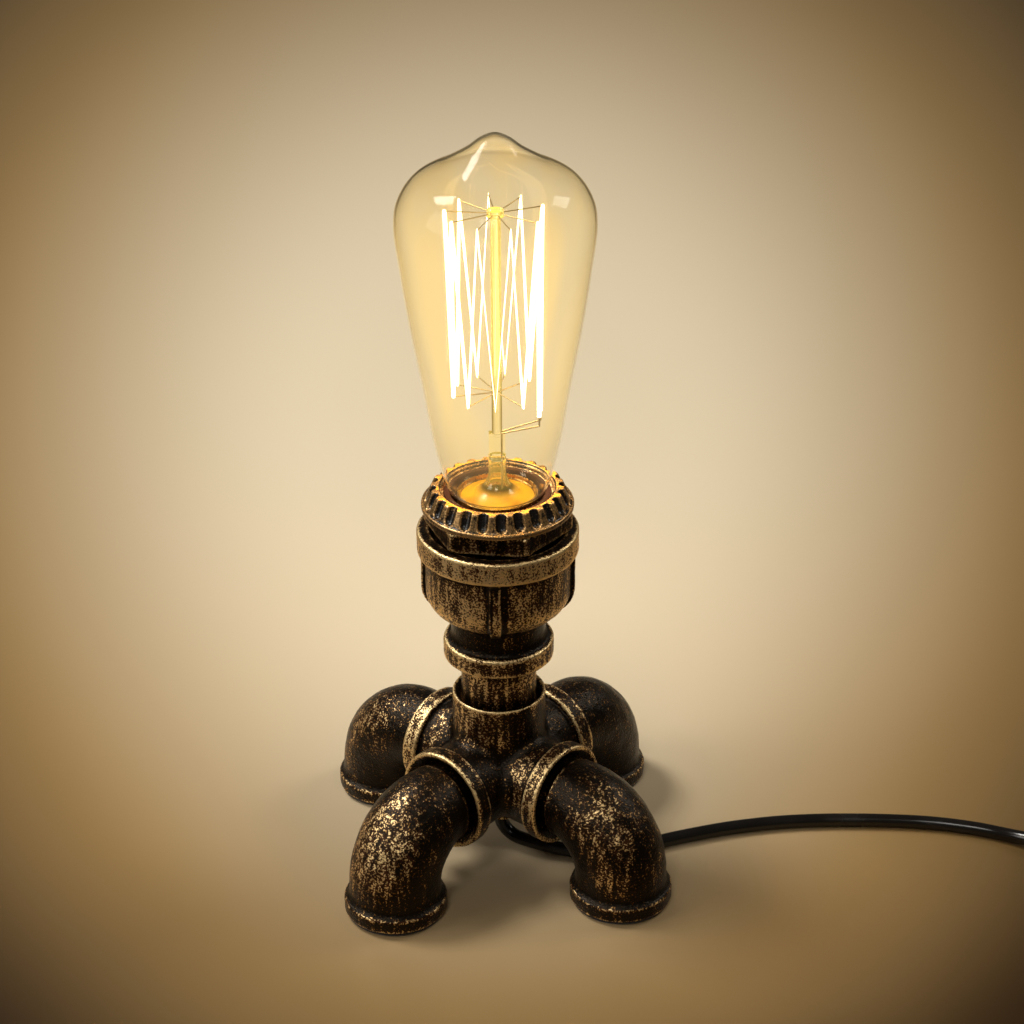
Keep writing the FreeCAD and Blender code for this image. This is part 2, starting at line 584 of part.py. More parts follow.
def socket_insulator():
    """Ceramic disc on the housing's floor, with seats for the terminals and blind screw holes."""
    body = disc(HOLDER_BORE_R - HOLDER_FIT, HOLDER_FLOOR_Z, INSULATOR_TOP_Z)
    for side in (-1, 1):
        hole_at = V(0, side * SCREW_AT, 0)
        body = body.cut(disc(SCREW_R + SCREW_FIT, HOLDER_FLOOR_Z - 1, SCREW_TIP_Z, hole_at))
        pocket = Part.makeBox(TERMINAL_LENGTH, TERMINAL_WIDTH, TERMINAL_SEAT)
        corner = V(side * TERMINAL_AT - TERMINAL_LENGTH / 2, -TERMINAL_WIDTH / 2, HOLDER_FLOOR_Z)
        body = body.cut(pocket.translated(corner))
    return body


def socket_sleeve():
    """Ceramic sleeve round the screw shell, standing on the insulator."""
    outer = HOLDER_BORE_R - HOLDER_FIT
    return tube(outer, outer - SLEEVE_WALL, INSULATOR_TOP_Z, COLLAR_TOP_Z + SLEEVE_PROUD)


def socket_screw_shell():
    """Pressed shell that the bulb's cap screws into, with a foot flange on the insulator."""
    outer = SHELL_BORE_R + SHELL_WALL
    shell = tube(outer, SHELL_BORE_R, INSULATOR_TOP_Z, INSULATOR_TOP_Z + SHELL_HEIGHT)
    foot = tube(SHELL_FLANGE_R, SHELL_FOOT_BORE_R, INSULATOR_TOP_Z, INSULATOR_TOP_Z + SHELL_WALL)
    return shell.fuse(foot).removeSplitter()


def socket_centre_contact():
    """Sprung tongue: a foot on the insulator, a slope, and a raised end under the bulb's eyelet."""
    foot_end, slope_end, tip = -CONTACT_REACH, -CONTACT_REACH / 2, CONTACT_REACH / 2
    low, high = INSULATOR_TOP_Z, INSULATOR_TOP_Z + CONTACT_RISE
    middle = (foot_end + slope_end) / 2
    under = [(foot_end, low), (middle, low), (slope_end, high), (tip, high)]
    over = [(x, z + CONTACT_THICKNESS) for x, z in reversed(under)]
    outline = Part.makePolygon([V(x, -CONTACT_WIDTH / 2, z) for x, z in under + over + under[:1]])
    return Part.Face(outline).extrude(V(0, CONTACT_WIDTH, 0))


def socket_terminals():
    """Two brass blocks under the insulator, each with a hole for a core and a threaded side hole."""
    blocks = []
    for side in (-1, 1):
        block = Part.makeBox(TERMINAL_LENGTH, TERMINAL_WIDTH, TERMINAL_HEIGHT)
        corner = V(side * TERMINAL_AT - TERMINAL_LENGTH / 2, -TERMINAL_WIDTH / 2, TERMINAL_Z)
        screw_at = V(side * TERMINAL_AT, 0, TERMINAL_SCREW_Z)
        end = V(side * (TERMINAL_AT + TERMINAL_LENGTH), 0, TERMINAL_SCREW_Z)
        block = block.translated(corner).cut(rod(screw_at, end, TERMINAL_SCREW_R + SCREW_FIT))
        blocks.append(block)
    return Part.makeCompound(blocks)


def terminal_screws():
    """One clamping screw in the side of each terminal."""
    screws = []
    for side in (-1, 1):
        start = V(side * TERMINAL_AT, 0, TERMINAL_SCREW_Z)
        end = V(side * (TERMINAL_AT + TERMINAL_LENGTH / 2 + TERMINAL_SCREW_PROUD), 0, TERMINAL_SCREW_Z)
        screws.append(rod(start, end, TERMINAL_SCREW_R))
    return Part.makeCompound(screws)


def insulator_screws():
    """Two pan-head screws that rise through the housing's floor into the insulator."""
    screws = []
    for side in (-1, 1):
        at = V(0, side * SCREW_AT, 0)
        head = disc(SCREW_HEAD_R, HOLDER_BOTTOM_Z - SCREW_HEAD_HEIGHT, HOLDER_BOTTOM_Z, at)
        shank_top = SCREW_TIP_Z - SCREW_TIP_GAP
        screws.append(head.fuse(disc(SCREW_R, HOLDER_BOTTOM_Z - SCREW_HEAD_HEIGHT, shank_top, at)))
    return Part.makeCompound(screws)


# ---- Shade ring ----

def shade_ring():
    """Threaded ring on the collar: thin flange, fluted cone, stepped top face round the bulb."""
    bottom = HEX_TOP_Z + RING_FLANGE_GAP
    flange_top = bottom + RING_FLANGE_THICKNESS
    top = bottom + RING_HEIGHT
    bore = COLLAR_R + RING_THREAD_FIT
    lip = top - RING_LIP_THICKNESS
    edge = RING_FLANGE_EDGE
    ring = turned([
        (RING_MOUTH_R, lip), (bore, lip), (bore, bottom), (RING_FLANGE_R - edge, bottom),
        (RING_FLANGE_R, bottom + edge), (RING_FLANGE_R, flange_top - edge),
        (RING_FLANGE_R - edge, flange_top), (RING_FOOT_R, flange_top),
        (RING_TOP_R + edge, top - edge), (RING_TOP_R, top), (RING_STEP_R, top),
        (RING_STEP_R, top - RING_STEP_DEPTH), (RING_MOUTH_R, top - RING_STEP_DEPTH),
    ])
    rise = V(RING_TOP_R - RING_FOOT_R, 0, top - flange_top)
    foot = V(RING_FOOT_R + FLUTE_R - FLUTE_DEPTH, 0, flange_top)
    start = foot + rise * FLUTE_FOOT_SHARE
    flute = rod(start, foot + rise * FLUTE_RUN_OUT, FLUTE_R).fuse(Part.makeSphere(FLUTE_R, start))
    cutters = [around(flute, FLUTE_ANGLE + 360 * k / FLUTE_COUNT) for k in range(FLUTE_COUNT)]
    return ring.cut(cutters)


# ---- Bulb ----

def curve(*points):
    """A smooth edge in the XZ half-plane that leaves its first point towards the second and reaches its
    last from the one before, each given as (radius, height)."""
    bezier = Part.BezierCurve()
    bezier.setPoles([V(r, 0, z) for r, z in points])
    return bezier.toShape()


def glass_wall(inset):
    """The envelope's section from its lower edge to its tip, `inset` inside its outer face."""
    belly_z = GLASS_Z + GLASS_BELLY_HEIGHT
    tip_z = GLASS_Z + GLASS_HEIGHT - inset
    belly_r = BULB_R - inset
    edge_r = BULB_CAP_RIM_R - BULB_CAP_WALL - GLASS_FIT - inset
    neck_z = GLASS_Z + GLASS_NECK_HEIGHT
    neck = (GLASS_NECK_R - inset, neck_z)
    flare_z = CAP_TOP_Z + GLASS_RIM_GAP
    flare_r = neck[0] - (neck_z - flare_z) * math.tan(math.radians(GLASS_SIDE_LEAN))
    lean = GLASS_SIDE_PULL * math.sin(math.radians(GLASS_SIDE_LEAN))
    climb = GLASS_SIDE_PULL * math.cos(math.radians(GLASS_SIDE_LEAN))
    share = 1 - inset / (GLASS_HEIGHT - GLASS_BELLY_HEIGHT)
    nose = (GLASS_NOSE_R * belly_r / BULB_R, tip_z - GLASS_NOSE_HEIGHT * share)
    slope = V(-math.cos(math.radians(GLASS_NOSE_SLOPE)), 0, math.sin(math.radians(GLASS_NOSE_SLOPE)))
    before, after = slope * GLASS_NOSE_PULL_OUT, slope * GLASS_NOSE_PULL_IN
    return [
        line((edge_r, GLASS_Z), (edge_r, flare_z)),
        curve((edge_r, flare_z), (flare_r, flare_z), neck),
        curve(
            neck, (neck[0] + lean, neck_z + climb),
            (belly_r, belly_z - GLASS_BELLY_PULL_DOWN), (belly_r, belly_z),
        ),
        curve(
            (belly_r, belly_z), (belly_r, belly_z + GLASS_BELLY_PULL_UP * share),
            (nose[0] - before.x, nose[1] - before.z), nose,
        ),
        curve(nose, (nose[0] + after.x, nose[1] + after.z), (GLASS_TIP_PULL, tip_z), (0, tip_z)),
    ]


def bulb_glass():
    """Blown teardrop envelope with an even wall and an open lower edge."""
    outside, inside = glass_wall(0.0), glass_wall(BULB_GLASS_WALL)
    rim = Part.makeLine(outside[0].firstVertex().Point, inside[0].firstVertex().Point)
    tip = Part.makeLine(outside[-1].lastVertex().Point, inside[-1].lastVertex().Point)
    return spin(outside + [tip] + inside[::-1] + [rim])


def bulb_cap():
    """Thin screw cap: a sleeve with a rolled rim round the glass and a coned lower end."""
    rim_z = CAP_TOP_Z - BULB_CAP_RIM_HEIGHT
    wall = BULB_CAP_WALL
    foot_r = BULB_CAP_R - BULB_CAP_TAPER
    knee_z = CAP_Z + BULB_CAP_TAPER
    return turned([
        (foot_r - wall, CAP_Z), (foot_r, CAP_Z), (BULB_CAP_R, knee_z), (BULB_CAP_R, rim_z),
        (BULB_CAP_RIM_R, rim_z), (BULB_CAP_RIM_R, CAP_TOP_Z), (BULB_CAP_RIM_R - wall, CAP_TOP_Z),
        (BULB_CAP_RIM_R - wall, rim_z + wall), (BULB_CAP_R - wall, rim_z + wall),
        (BULB_CAP_R - wall, knee_z),
    ])


def bulb_cap_insulator():
    """Black glass cone between the cap and its eyelet."""
    top_r = BULB_CAP_R - BULB_CAP_TAPER
    return turned([
        (0, CAP_INSULATOR_Z), (CAP_INSULATOR_TIP_R, CAP_INSULATOR_Z), (top_r, CAP_Z), (0, CAP_Z),
    ])


def bulb_cap_contact():
    """Soldered eyelet at the bottom of the cap, slightly domed."""
    rise = CAP_CONTACT_HEIGHT / 2
    return turned([
        (0, EYELET_Z), (CAP_CONTACT_R - 2 * rise, EYELET_Z), (CAP_CONTACT_R, EYELET_Z + rise),
        (CAP_CONTACT_R, CAP_INSULATOR_Z), (0, CAP_INSULATOR_Z),
    ])


def bulb_stem():
    """Glass mount: a flare sealed into the neck, a tube, a flat pinch, and a rod with a button."""
    pinch_top = GLASS_Z + STEM_HEIGHT
    pinch_z = pinch_top - STEM_PINCH_HEIGHT
    rod_top = pinch_top + STEM_ROD_LENGTH
    flare_top = GLASS_Z + STEM_FLARE_HEIGHT
    bore_r, flare_bore_r = STEM_TUBE_R - STEM_WALL, STEM_FLARE_R - STEM_WALL
    waist_z = GLASS_Z + STEM_WAIST_HEIGHT
    flare = spin([
        line((STEM_FLARE_R, GLASS_Z), (flare_bore_r, GLASS_Z)),
        curve((flare_bore_r, GLASS_Z), (bore_r, waist_z - STEM_WALL), (bore_r, flare_top)),
        line((bore_r, flare_top), (STEM_TUBE_R, flare_top)),
        curve((STEM_TUBE_R, flare_top), (STEM_TUBE_R, waist_z), (STEM_FLARE_R, GLASS_Z)),
    ])
    neck = tube(STEM_TUBE_R, bore_r, flare_top, pinch_z + 0.5)
    pinch = Part.makeBox(2 * STEM_PINCH_R, STEM_PINCH_R, STEM_PINCH_HEIGHT)
    pinch.translate(V(-STEM_PINCH_R, -STEM_PINCH_R / 2, pinch_z))
    pinch = around(pinch, STEM_PINCH_ANGLE)
    stalk = disc(STEM_ROD_R, pinch_top - 1, rod_top)
    button = disc(STEM_BUTTON_R, rod_top - STEM_BUTTON_HEIGHT, rod_top)
    base = disc(STEM_TUBE_R, pinch_z - 0.5, pinch_z + 1)
    return flare.fuse([neck, base, pinch, stalk, button]).removeSplitter()


def cage_point(radius, z, step):
    """A point on the filament's cage, `step` pitches round from its first strand."""
    turn = math.radians(FILAMENT_START + step * 360.0 / (FILAMENT_HAIRPINS + FILAMENT_GAP))
    return V(radius * math.cos(turn), radius * math.sin(turn), z)


def filament_points():
    """The filament's corners in order: up and down between the upper and the lower hooks. Its two ends
    hang lower than the hooks."""
    tail = V(0, 0, FILAMENT_TAIL)
    points = [cage_point(FILAMENT_BOTTOM_R, FILAMENT_BOTTOM_Z, 0) - tail]
    for hairpin in range(FILAMENT_HAIRPINS):
        points.append(cage_point(FILAMENT_TOP_R, FILAMENT_TOP_Z, hairpin + 0.5))
        points.append(cage_point(FILAMENT_BOTTOM_R, FILAMENT_BOTTOM_Z, hairpin + 1))
    points[-1] = points[-1] - tail
    return points


def bulb_filament():
    """One carbon thread in tall hairpins, hung as a cage round the stem's rod."""
    points = filament_points()
    strands = [rod(a, b, FILAMENT_R) for a, b in zip(points, points[1:])]
    knuckles = [Part.makeSphere(FILAMENT_R, point) for point in points[1:-1]]
    return strands[0].fuse(strands[1:] + knuckles)


def bulb_filament_hooks():
    """Fine wires from the stem that hold the filament's corners, the two ends excepted."""
    hooks = []
    for number, point in enumerate(filament_points()[1:-1]):
        root_r = STEM_BUTTON_R if number % 2 == 0 else STEM_ROD_R
        reach = V(point.x, point.y, 0)
        unit = reach * (1 / reach.Length)
        start = unit * (root_r - 0.3) + V(0, 0, point.z)
        end = unit * (reach.Length - FILAMENT_R - HOOK_R) + V(0, 0, point.z)
        hooks.append(rod(start, end, HOOK_R))
    return Part.makeCompound(hooks)


def bulb_lead_wires():
    """Two wires through the pinch: up to the filament's ends, down to the cap's wall and to its glass."""
    points = filament_points()
    pinch_top = GLASS_Z + STEM_HEIGHT
    cap_wall = BULB_CAP_R - BULB_CAP_WALL + LEAD_IN_CAP
    cross_z = GLASS_Z - LEAD_CROSS_DROP
    wires = []
    for end, side, outer in ((points[0], 1, True), (points[-1], -1, False)):
        foot = around(Part.Vertex(LEAD_AT, side * LEAD_SPREAD, pinch_top), STEM_PINCH_ANGLE).Point
        heel = V(end.x, end.y, end.z - FILAMENT_R - LEAD_HEEL)
        route = [V(end.x, end.y, end.z - FILAMENT_R), heel, foot]
        if outer:
            low = V(foot.x, foot.y, cross_z)
            route += [low, V(low.x, low.y, 0) * (cap_wall / math.hypot(low.x, low.y)) + V(0, 0, cross_z)]
        else:
            route.append(V(foot.x, foot.y, CAP_Z))
        runs = [rod(a, b, LEAD_R) for a, b in zip(route, route[1:])]
        bends = [Part.makeSphere(LEAD_R, point) for point in route[1:-1]]
        wires.append(runs[0].fuse(runs[1:] + bends))
    return Part.makeCompound(wires)


# ---- Cord ----

def rounded_path(points):
    """Straight runs joined by tangent arcs, each as large as its two runs allow, and the arcs' radii."""
    edges = []
    radii = []
    start = points[0]
    for before, corner, after in zip(points, points[1:], points[2:]):
        back = before - corner
        ahead = after - corner
        reach = ARC_SHARE * min(back.Length, ahead.Length)
        half_turn = (math.pi - back.getAngle(ahead)) / 2
        radius = reach / math.tan(half_turn)
        back.normalize()
        ahead.normalize()
        inward = (back + ahead).normalize()
        middle = corner + inward * (radius / math.cos(half_turn) - radius)
        enter, leave = corner + back * reach, corner + ahead * reach
        edges.append(Part.LineSegment(start, enter).toShape())
        edges.append(Part.Arc(enter, middle, leave).toShape())
        radii.append(radius)
        start = leave
    edges.append(Part.LineSegment(start, points[-1]).toShape())
    return Part.Wire(edges), radii


def round_tube(name, points, radius):
    """A round solid along a route; prints its radii, its length and its volume against its section."""
    route = [V(*point) for point in points]
    path, radii = rounded_path(route)
    section = Part.Wire(Part.makeCircle(radius, route[0], route[1] - route[0]))
    solid = path.makePipeShell([section], True, False)
    ratio = solid.Volume / (math.pi * radius ** 2 * path.Length)
    print(name, "radii", [round(r, 1) for r in radii])
    print(name, "length", round(path.Length, 1), "volume", round(ratio, 4))
    return solid


def cord_grip_bushing():
    """Threaded bushing through the boss: nose and flange below, tube inside the cross."""
    seat = BOSS_Z - GRIP_FLANGE_THICKNESS
    top = GRIP_SEAT_Z + GRIP_NUT_THICKNESS + GRIP_TUBE_ABOVE_NUT
    body = disc(GRIP_NOSE_R, seat - GRIP_NOSE_LENGTH, BOSS_Z).fuse([
        disc(GRIP_FLANGE_R, seat, BOSS_Z), disc(GRIP_R, seat, top),
    ])
    return body.removeSplitter().cut(disc(CORD_R + CORD_FIT, seat - GRIP_NOSE_LENGTH - 1, top + 1))


def cord_grip_locknut():
    """Thin nut on the bushing, inside the cross."""
    top = GRIP_SEAT_Z + GRIP_NUT_THICKNESS
    nut = hexagon(GRIP_NUT_FLATS, GRIP_SEAT_Z, top, GRIP_NUT_CHAMFER)
    return nut.cut(disc(GRIP_R + THREAD_FIT, GRIP_SEAT_Z - 1, top + 1))


def inner_cord():
    """The cord's sheath inside the lamp, from the bushing's mouth to where its cores part."""
    return disc(CORD_R, LAMP_TO_SWITCH[0][2], SHEATH_END_Z)


def core_to_terminal(side):
    """One core from the sheath up to its terminal, stepping outwards just below it."""
    start_x = side * CORE_SPREAD
    end_x = side * TERMINAL_AT
    return round_tube("core", (
        (start_x, 0, SHEATH_END_Z), (start_x, 0, TERMINAL_Z - 2 * CORE_STEP),
        (end_x, 0, TERMINAL_Z - CORE_STEP), (end_x, 0, TERMINAL_Z),
    ), CORE_R)


def strain_relief():
    """Moulded sleeve along +X from its tip at the origin: ringed taper, neck and inner flange."""
    slope = (RELIEF_ROOT_R - RELIEF_TIP_R) / RELIEF_LENGTH
    pitch = RELIEF_LENGTH / (RELIEF_RINGS + 1)
    outline = [(0, 0), (RELIEF_TIP_R, 0)]
    for ring in range(RELIEF_RINGS):
        centre = pitch * (ring + 1)
        for x, cut in ((-1.0, 0), (-0.6, 1), (0.6, 1), (1.0, 0)):
            outline.append((RELIEF_TIP_R + slope * (centre + x) - cut * RELIEF_GROOVE, centre + x))
    neck_end = RELIEF_LENGTH + SWITCH_WALL
    outline += [
        (RELIEF_ROOT_R, RELIEF_LENGTH), (RELIEF_NECK_R, RELIEF_LENGTH), (RELIEF_NECK_R, neck_end),
        (RELIEF_FLANGE_R, neck_end), (RELIEF_FLANGE_R, neck_end + RELIEF_FLANGE),
        (0, neck_end + RELIEF_FLANGE),
    ]
    relief = turned(outline)
    relief.rotate(V(0, 0, 0), ALONG_Y, 90)
    return relief


# ---- Switch on the cord, along +X about its middle until it is placed ----

def placed(shape, at, degrees):
    """A copy of a shape turned about the upright and moved from the origin to `at`."""
    copy = shape.copy()
    copy.rotate(V(0, 0, 0), UP, degrees)
    copy.translate(at)
    return copy


def switch_plan(inset, z0, z1):
    """The case's plan, bowed along its sides and rounded at its corners, as an upright block."""
    x = SWITCH_LENGTH / 2 - inset
    end_y = SWITCH_END_WIDTH / 2 - inset
    middle_y = SWITCH_WIDTH / 2 - inset
    near = Part.Arc(V(-x, -end_y, z0), V(0, -middle_y, z0), V(x, -end_y, z0)).toShape()
    far = Part.Arc(V(x, end_y, z0), V(0, middle_y, z0), V(-x, end_y, z0)).toShape()
    right = Part.makeLine(V(x, -end_y, z0), V(x, end_y, z0))
    left = Part.makeLine(V(-x, end_y, z0), V(-x, -end_y, z0))
    block = Part.Face(Part.Wire([near, right, far, left])).extrude(V(0, 0, z1 - z0))
    corners = [edge for edge in block.Edges if abs(edge.tangentAt(edge.FirstParameter).z) > 0.9]
    return block.makeFillet(SWITCH_CORNER_R - inset, corners)


def case_half(z0, z1, open_z):
    """One shell of the case: a block with one rounded rim, hollowed from its open side."""
    block = switch_plan(0, z0, z1)
    closed_z = z0 if open_z == z1 else z1
    rim = [
        edge for edge in block.Edges
        if abs(edge.BoundBox.ZMin - closed_z) + abs(edge.BoundBox.ZMax - closed_z) < 1e-6
    ]
    block = block.makeFillet(SWITCH_EDGE, rim)
    low = z0 + SWITCH_WALL if closed_z == z0 else z0 - 1
    high = z1 + 1 if closed_z == z0 else z1 - SWITCH_WALL
    return block.cut(switch_plan(SWITCH_WALL, low, high))


def relief_holes():
    """The two necks that the case clamps."""
    end = SWITCH_LENGTH / 2 + 1
    return rod(V(-end, 0, SWITCH_SPLIT_Z), V(end, 0, SWITCH_SPLIT_Z), RELIEF_NECK_R + CORD_FIT).cut(
        Part.makeBox(2 * (end - 3), 20, 20, V(-end + 3, -10, 0)))


def case_bosses(z0, z1):
    """The two screw bosses on the case's diagonal."""
    return [disc(BOSS_R, z0, z1, V(side * BOSS_X, side * BOSS_Y, 0)) for side in (-1, 1)]


def switch_lower_housing():
    """Lower shell with its floor, screw bosses and countersunk head recesses."""
    shell = case_half(0, SWITCH_SPLIT_Z, SWITCH_SPLIT_Z)
    shell = shell.fuse(case_bosses(SWITCH_WALL / 2, SWITCH_SPLIT_Z)).cut(relief_holes())
    for side in (-1, 1):
        at = V(side * BOSS_X, side * BOSS_Y, 0)
        shell = shell.cut(disc(CASE_SCREW_R + SCREW_FIT, -1, SWITCH_SPLIT_Z + 1, at))
        recess_r = CASE_SCREW_HEAD_R + CASE_SCREW_HEAD_GAP
        shell = shell.cut(disc(recess_r, -1, CASE_SCREW_RECESS + CASE_SCREW_HEAD_HEIGHT, at))
    return shell


def switch_upper_housing():
    """Upper shell with the rocker's window, its two bearing cheeks and the screw bosses."""
    shell = case_half(SWITCH_SPLIT_Z, SWITCH_HEIGHT, SWITCH_SPLIT_Z)
    under_top = SWITCH_HEIGHT - SWITCH_WALL
    cheek_y = ROCKER_WIDTH / 2 + ROCKER_GAP
    for side in (-1, 1):
        cheek = Part.makeBox(CHEEK_LENGTH, CHEEK_THICKNESS, CHEEK_DEPTH + SWITCH_WALL / 2)
        y = cheek_y if side == 1 else -cheek_y - CHEEK_THICKNESS
        shell = shell.fuse(cheek.translated(V(-CHEEK_LENGTH / 2, y, under_top - CHEEK_DEPTH)))
    shell = shell.fuse(case_bosses(SWITCH_SPLIT_Z, under_top + SWITCH_WALL / 2)).cut(relief_holes())
    window_x = ROCKER_R + ROCKER_GAP
    window_at = V(-window_x, -cheek_y, under_top - SWITCH_WALL)
    window = Part.makeBox(2 * window_x, 2 * cheek_y, 3 * SWITCH_WALL, window_at)
    pin_r = ROCKER_PIN_R + ROCKER_PIN_FIT
    pin_y = ROCKER_WIDTH / 2 + ROCKER_PIN_LENGTH + ROCKER_PIN_FIT
    shell = shell.cut(window).cut(rod(V(0, -pin_y, ROCKER_PIVOT_Z), V(0, pin_y, ROCKER_PIVOT_Z), pin_r))
    for side in (-1, 1):
        at = V(side * BOSS_X, side * BOSS_Y, 0)
        hole_top = CASE_SCREW_RECESS + CASE_SCREW_LENGTH + SCREW_TIP_GAP
        shell = shell.cut(disc(CASE_SCREW_R + SCREW_FIT, SWITCH_SPLIT_Z - 1, hole_top, at))
    return shell


def tilted(shape):
    """A copy of a rocker piece turned about the pivot to the stop it rests on."""
    copy = shape.copy()
    copy.rotate(V(0, 0, ROCKER_PIVOT_Z), ALONG_Y, -ROCKER_TILT)
    return copy


def switch_rocker():
    """Rocker with a dished top, ends rounded about the pivot and a pin at each side."""
    end_z = ROCKER_PIVOT_DROP + ROCKER_PROUD
    end_x = math.sqrt(ROCKER_R ** 2 - end_z ** 2)
    skirt_x = math.sqrt(ROCKER_R ** 2 - ROCKER_SKIRT ** 2)
    y = -ROCKER_WIDTH / 2

    def at(x, z):
        return V(x, y, ROCKER_PIVOT_Z + z)

    edges = [
        Part.makeLine(at(-skirt_x, -ROCKER_SKIRT), at(skirt_x, -ROCKER_SKIRT)),
        Part.Arc(at(skirt_x, -ROCKER_SKIRT), at(ROCKER_R, 0), at(end_x, end_z)).toShape(),
        Part.Arc(at(end_x, end_z), at(0, end_z - ROCKER_DISH), at(-end_x, end_z)).toShape(),
        Part.Arc(at(-end_x, end_z), at(-ROCKER_R, 0), at(-skirt_x, -ROCKER_SKIRT)).toShape(),
    ]
    body = Part.Face(Part.Wire(edges)).extrude(V(0, ROCKER_WIDTH, 0))
    pin_y = ROCKER_WIDTH / 2 + ROCKER_PIN_LENGTH
    pins = rod(V(0, -pin_y, ROCKER_PIVOT_Z), V(0, pin_y, ROCKER_PIVOT_Z), ROCKER_PIN_R)
    return tilted(body.fuse(pins))


def switch_blade():
    """Sprung bridge under the rocker that closes onto the fixed contacts."""
    top = ROCKER_PIVOT_Z - ROCKER_SKIRT
    corner = V(-BLADE_LENGTH / 2, -BLADE_WIDTH / 2, top - BLADE_THICKNESS)
    return tilted(Part.makeBox(BLADE_LENGTH, BLADE_WIDTH, BLADE_THICKNESS, corner))


def switch_contacts():
    """Two brass posts on the floor of the case, just below the blade's ends."""
    tilt = math.radians(ROCKER_TILT)
    blade_z = ROCKER_SKIRT + BLADE_THICKNESS
    reach = POST_AT + POST_LENGTH / 2
    top = ROCKER_PIVOT_Z - blade_z / math.cos(tilt) - reach * math.tan(tilt) - POST_GAP
    height = top - SWITCH_WALL
    posts = []
    for side in (-1, 1):
        corner = V(side * POST_AT - POST_LENGTH / 2, -POST_WIDTH / 2, SWITCH_WALL)
        posts.append(Part.makeBox(POST_LENGTH, POST_WIDTH, height, corner))
    return Part.makeCompound(posts)


def switch_live_cores():
    """The cut core: one end from each strain relief to its post."""
    inner_x = SWITCH_LENGTH / 2 - SWITCH_WALL - RELIEF_FLANGE
    post_x = POST_AT + POST_LENGTH / 2
    at = V(0, LIVE_CORE_Y, SWITCH_SPLIT_Z)
    return Part.makeCompound([rod(at + V(side * post_x, 0, 0), at + V(side * inner_x, 0, 0), CORE_R)
                              for side in (-1, 1)])


def switch_neutral_core():
    """The core that passes straight through the case."""
    inner_x = SWITCH_LENGTH / 2 - SWITCH_WALL - RELIEF_FLANGE
    end = V(inner_x, NEUTRAL_CORE_Y, SWITCH_SPLIT_Z)
    return rod(V(-end.x, end.y, end.z), end, CORE_R)


def switch_housing_screws():
    """Two screws from below, through the lower shell into the upper shell's bosses."""
    screws = []
    for side in (-1, 1):
        at = V(side * BOSS_X, side * BOSS_Y, 0)
        top = CASE_SCREW_RECESS + CASE_SCREW_LENGTH
        head = disc(CASE_SCREW_HEAD_R, CASE_SCREW_RECESS, CASE_SCREW_RECESS + CASE_SCREW_HEAD_HEIGHT, at)
        screws.append(head.fuse(disc(CASE_SCREW_R, CASE_SCREW_RECESS, top, at)))
    return Part.makeCompound(screws)


# ---- Coil ----

def cord_coil():
    """Outer form of the flat double coil of spare cord."""
    half = COIL_ACROSS * CORD_R
    return tube(COIL_MEAN_R + half, COIL_MEAN_R - half, 0, 2 * CORD_R * COIL_LAYERS, COIL_AT)


# ---- Plug, along +X from the tip of its strain relief until it is placed ----

def plug_body():
    """Flat two-pin plug: a narrow neck that widens to a straight-sided body, edges rounded."""
    neck_x, face_x = RELIEF_LENGTH, RELIEF_LENGTH + PLUG_LENGTH
    shoulder_x = neck_x + PLUG_SHOULDER
    neck_y, side_y = PLUG_NECK_WIDTH / 2, PLUG_WIDTH / 2
    bulge_x, bulge_y = neck_x + PLUG_SHOULDER * 0.35, neck_y + (side_y - neck_y) * 0.66
    z = -PLUG_THICKNESS / 2

    def at(x, y):
        return V(x, y, z)

    edges = [
        Part.makeLine(at(neck_x, -neck_y), at(neck_x, neck_y)).reversed(),
        Part.Arc(at(neck_x, -neck_y), at(bulge_x, -bulge_y), at(shoulder_x, -side_y)).toShape(),
        Part.makeLine(at(shoulder_x, -side_y), at(face_x, -side_y)),
        Part.makeLine(at(face_x, -side_y), at(face_x, side_y)),
        Part.makeLine(at(face_x, side_y), at(shoulder_x, side_y)),
        Part.Arc(at(shoulder_x, side_y), at(bulge_x, bulge_y), at(neck_x, neck_y)).toShape(),
    ]
    body = Part.Face(Part.Wire(edges)).extrude(V(0, 0, PLUG_THICKNESS))
    rims = [edge for edge in body.Edges if abs(edge.BoundBox.ZMax - edge.BoundBox.ZMin) < 1e-6]
    body = body.makeFillet(PLUG_EDGE, rims)
    for pin_at in plug_pin_places():
        body = body.cut(rod(pin_at - V(PIN_ROOT, 0, 0), pin_at + V(1, 0, 0), PIN_CORE_R + PIN_FIT))
    body = body.cut(rod(V(neck_x - 1, 0, 0), V(neck_x + SWITCH_WALL, 0, 0), RELIEF_NECK_R + CORD_FIT))
    flange_x = neck_x + SWITCH_WALL
    return body.cut(rod(V(flange_x, 0, 0), V(flange_x + RELIEF_FLANGE, 0, 0), RELIEF_FLANGE_R + CORD_FIT))


def plug_pin_places():
    """Where the two pins leave the plug's face."""
    return [V(RELIEF_LENGTH + PLUG_LENGTH, side * PIN_SPACING / 2, 0) for side in (-1, 1)]


def plug_pins():
    """Two pins: a thin core in the plug and in its sleeve, then a full round end with a broken edge."""
    pins = []
    for face in plug_pin_places():
        core = rod(face - V(PIN_ROOT, 0, 0), face + V(PIN_LENGTH - 1, 0, 0), PIN_CORE_R)
        contact = rod(face + V(PIN_SLEEVE_LENGTH, 0, 0), face + V(PIN_LENGTH - PIN_EDGE, 0, 0), PIN_R)
        tip_at = face + V(PIN_LENGTH - PIN_EDGE, 0, 0)
        tip = Part.makeCone(PIN_R, PIN_R - PIN_EDGE, PIN_EDGE, tip_at, ALONG_X)
        pins.append(core.fuse([contact, tip]).removeSplitter())
    return Part.makeCompound(pins)


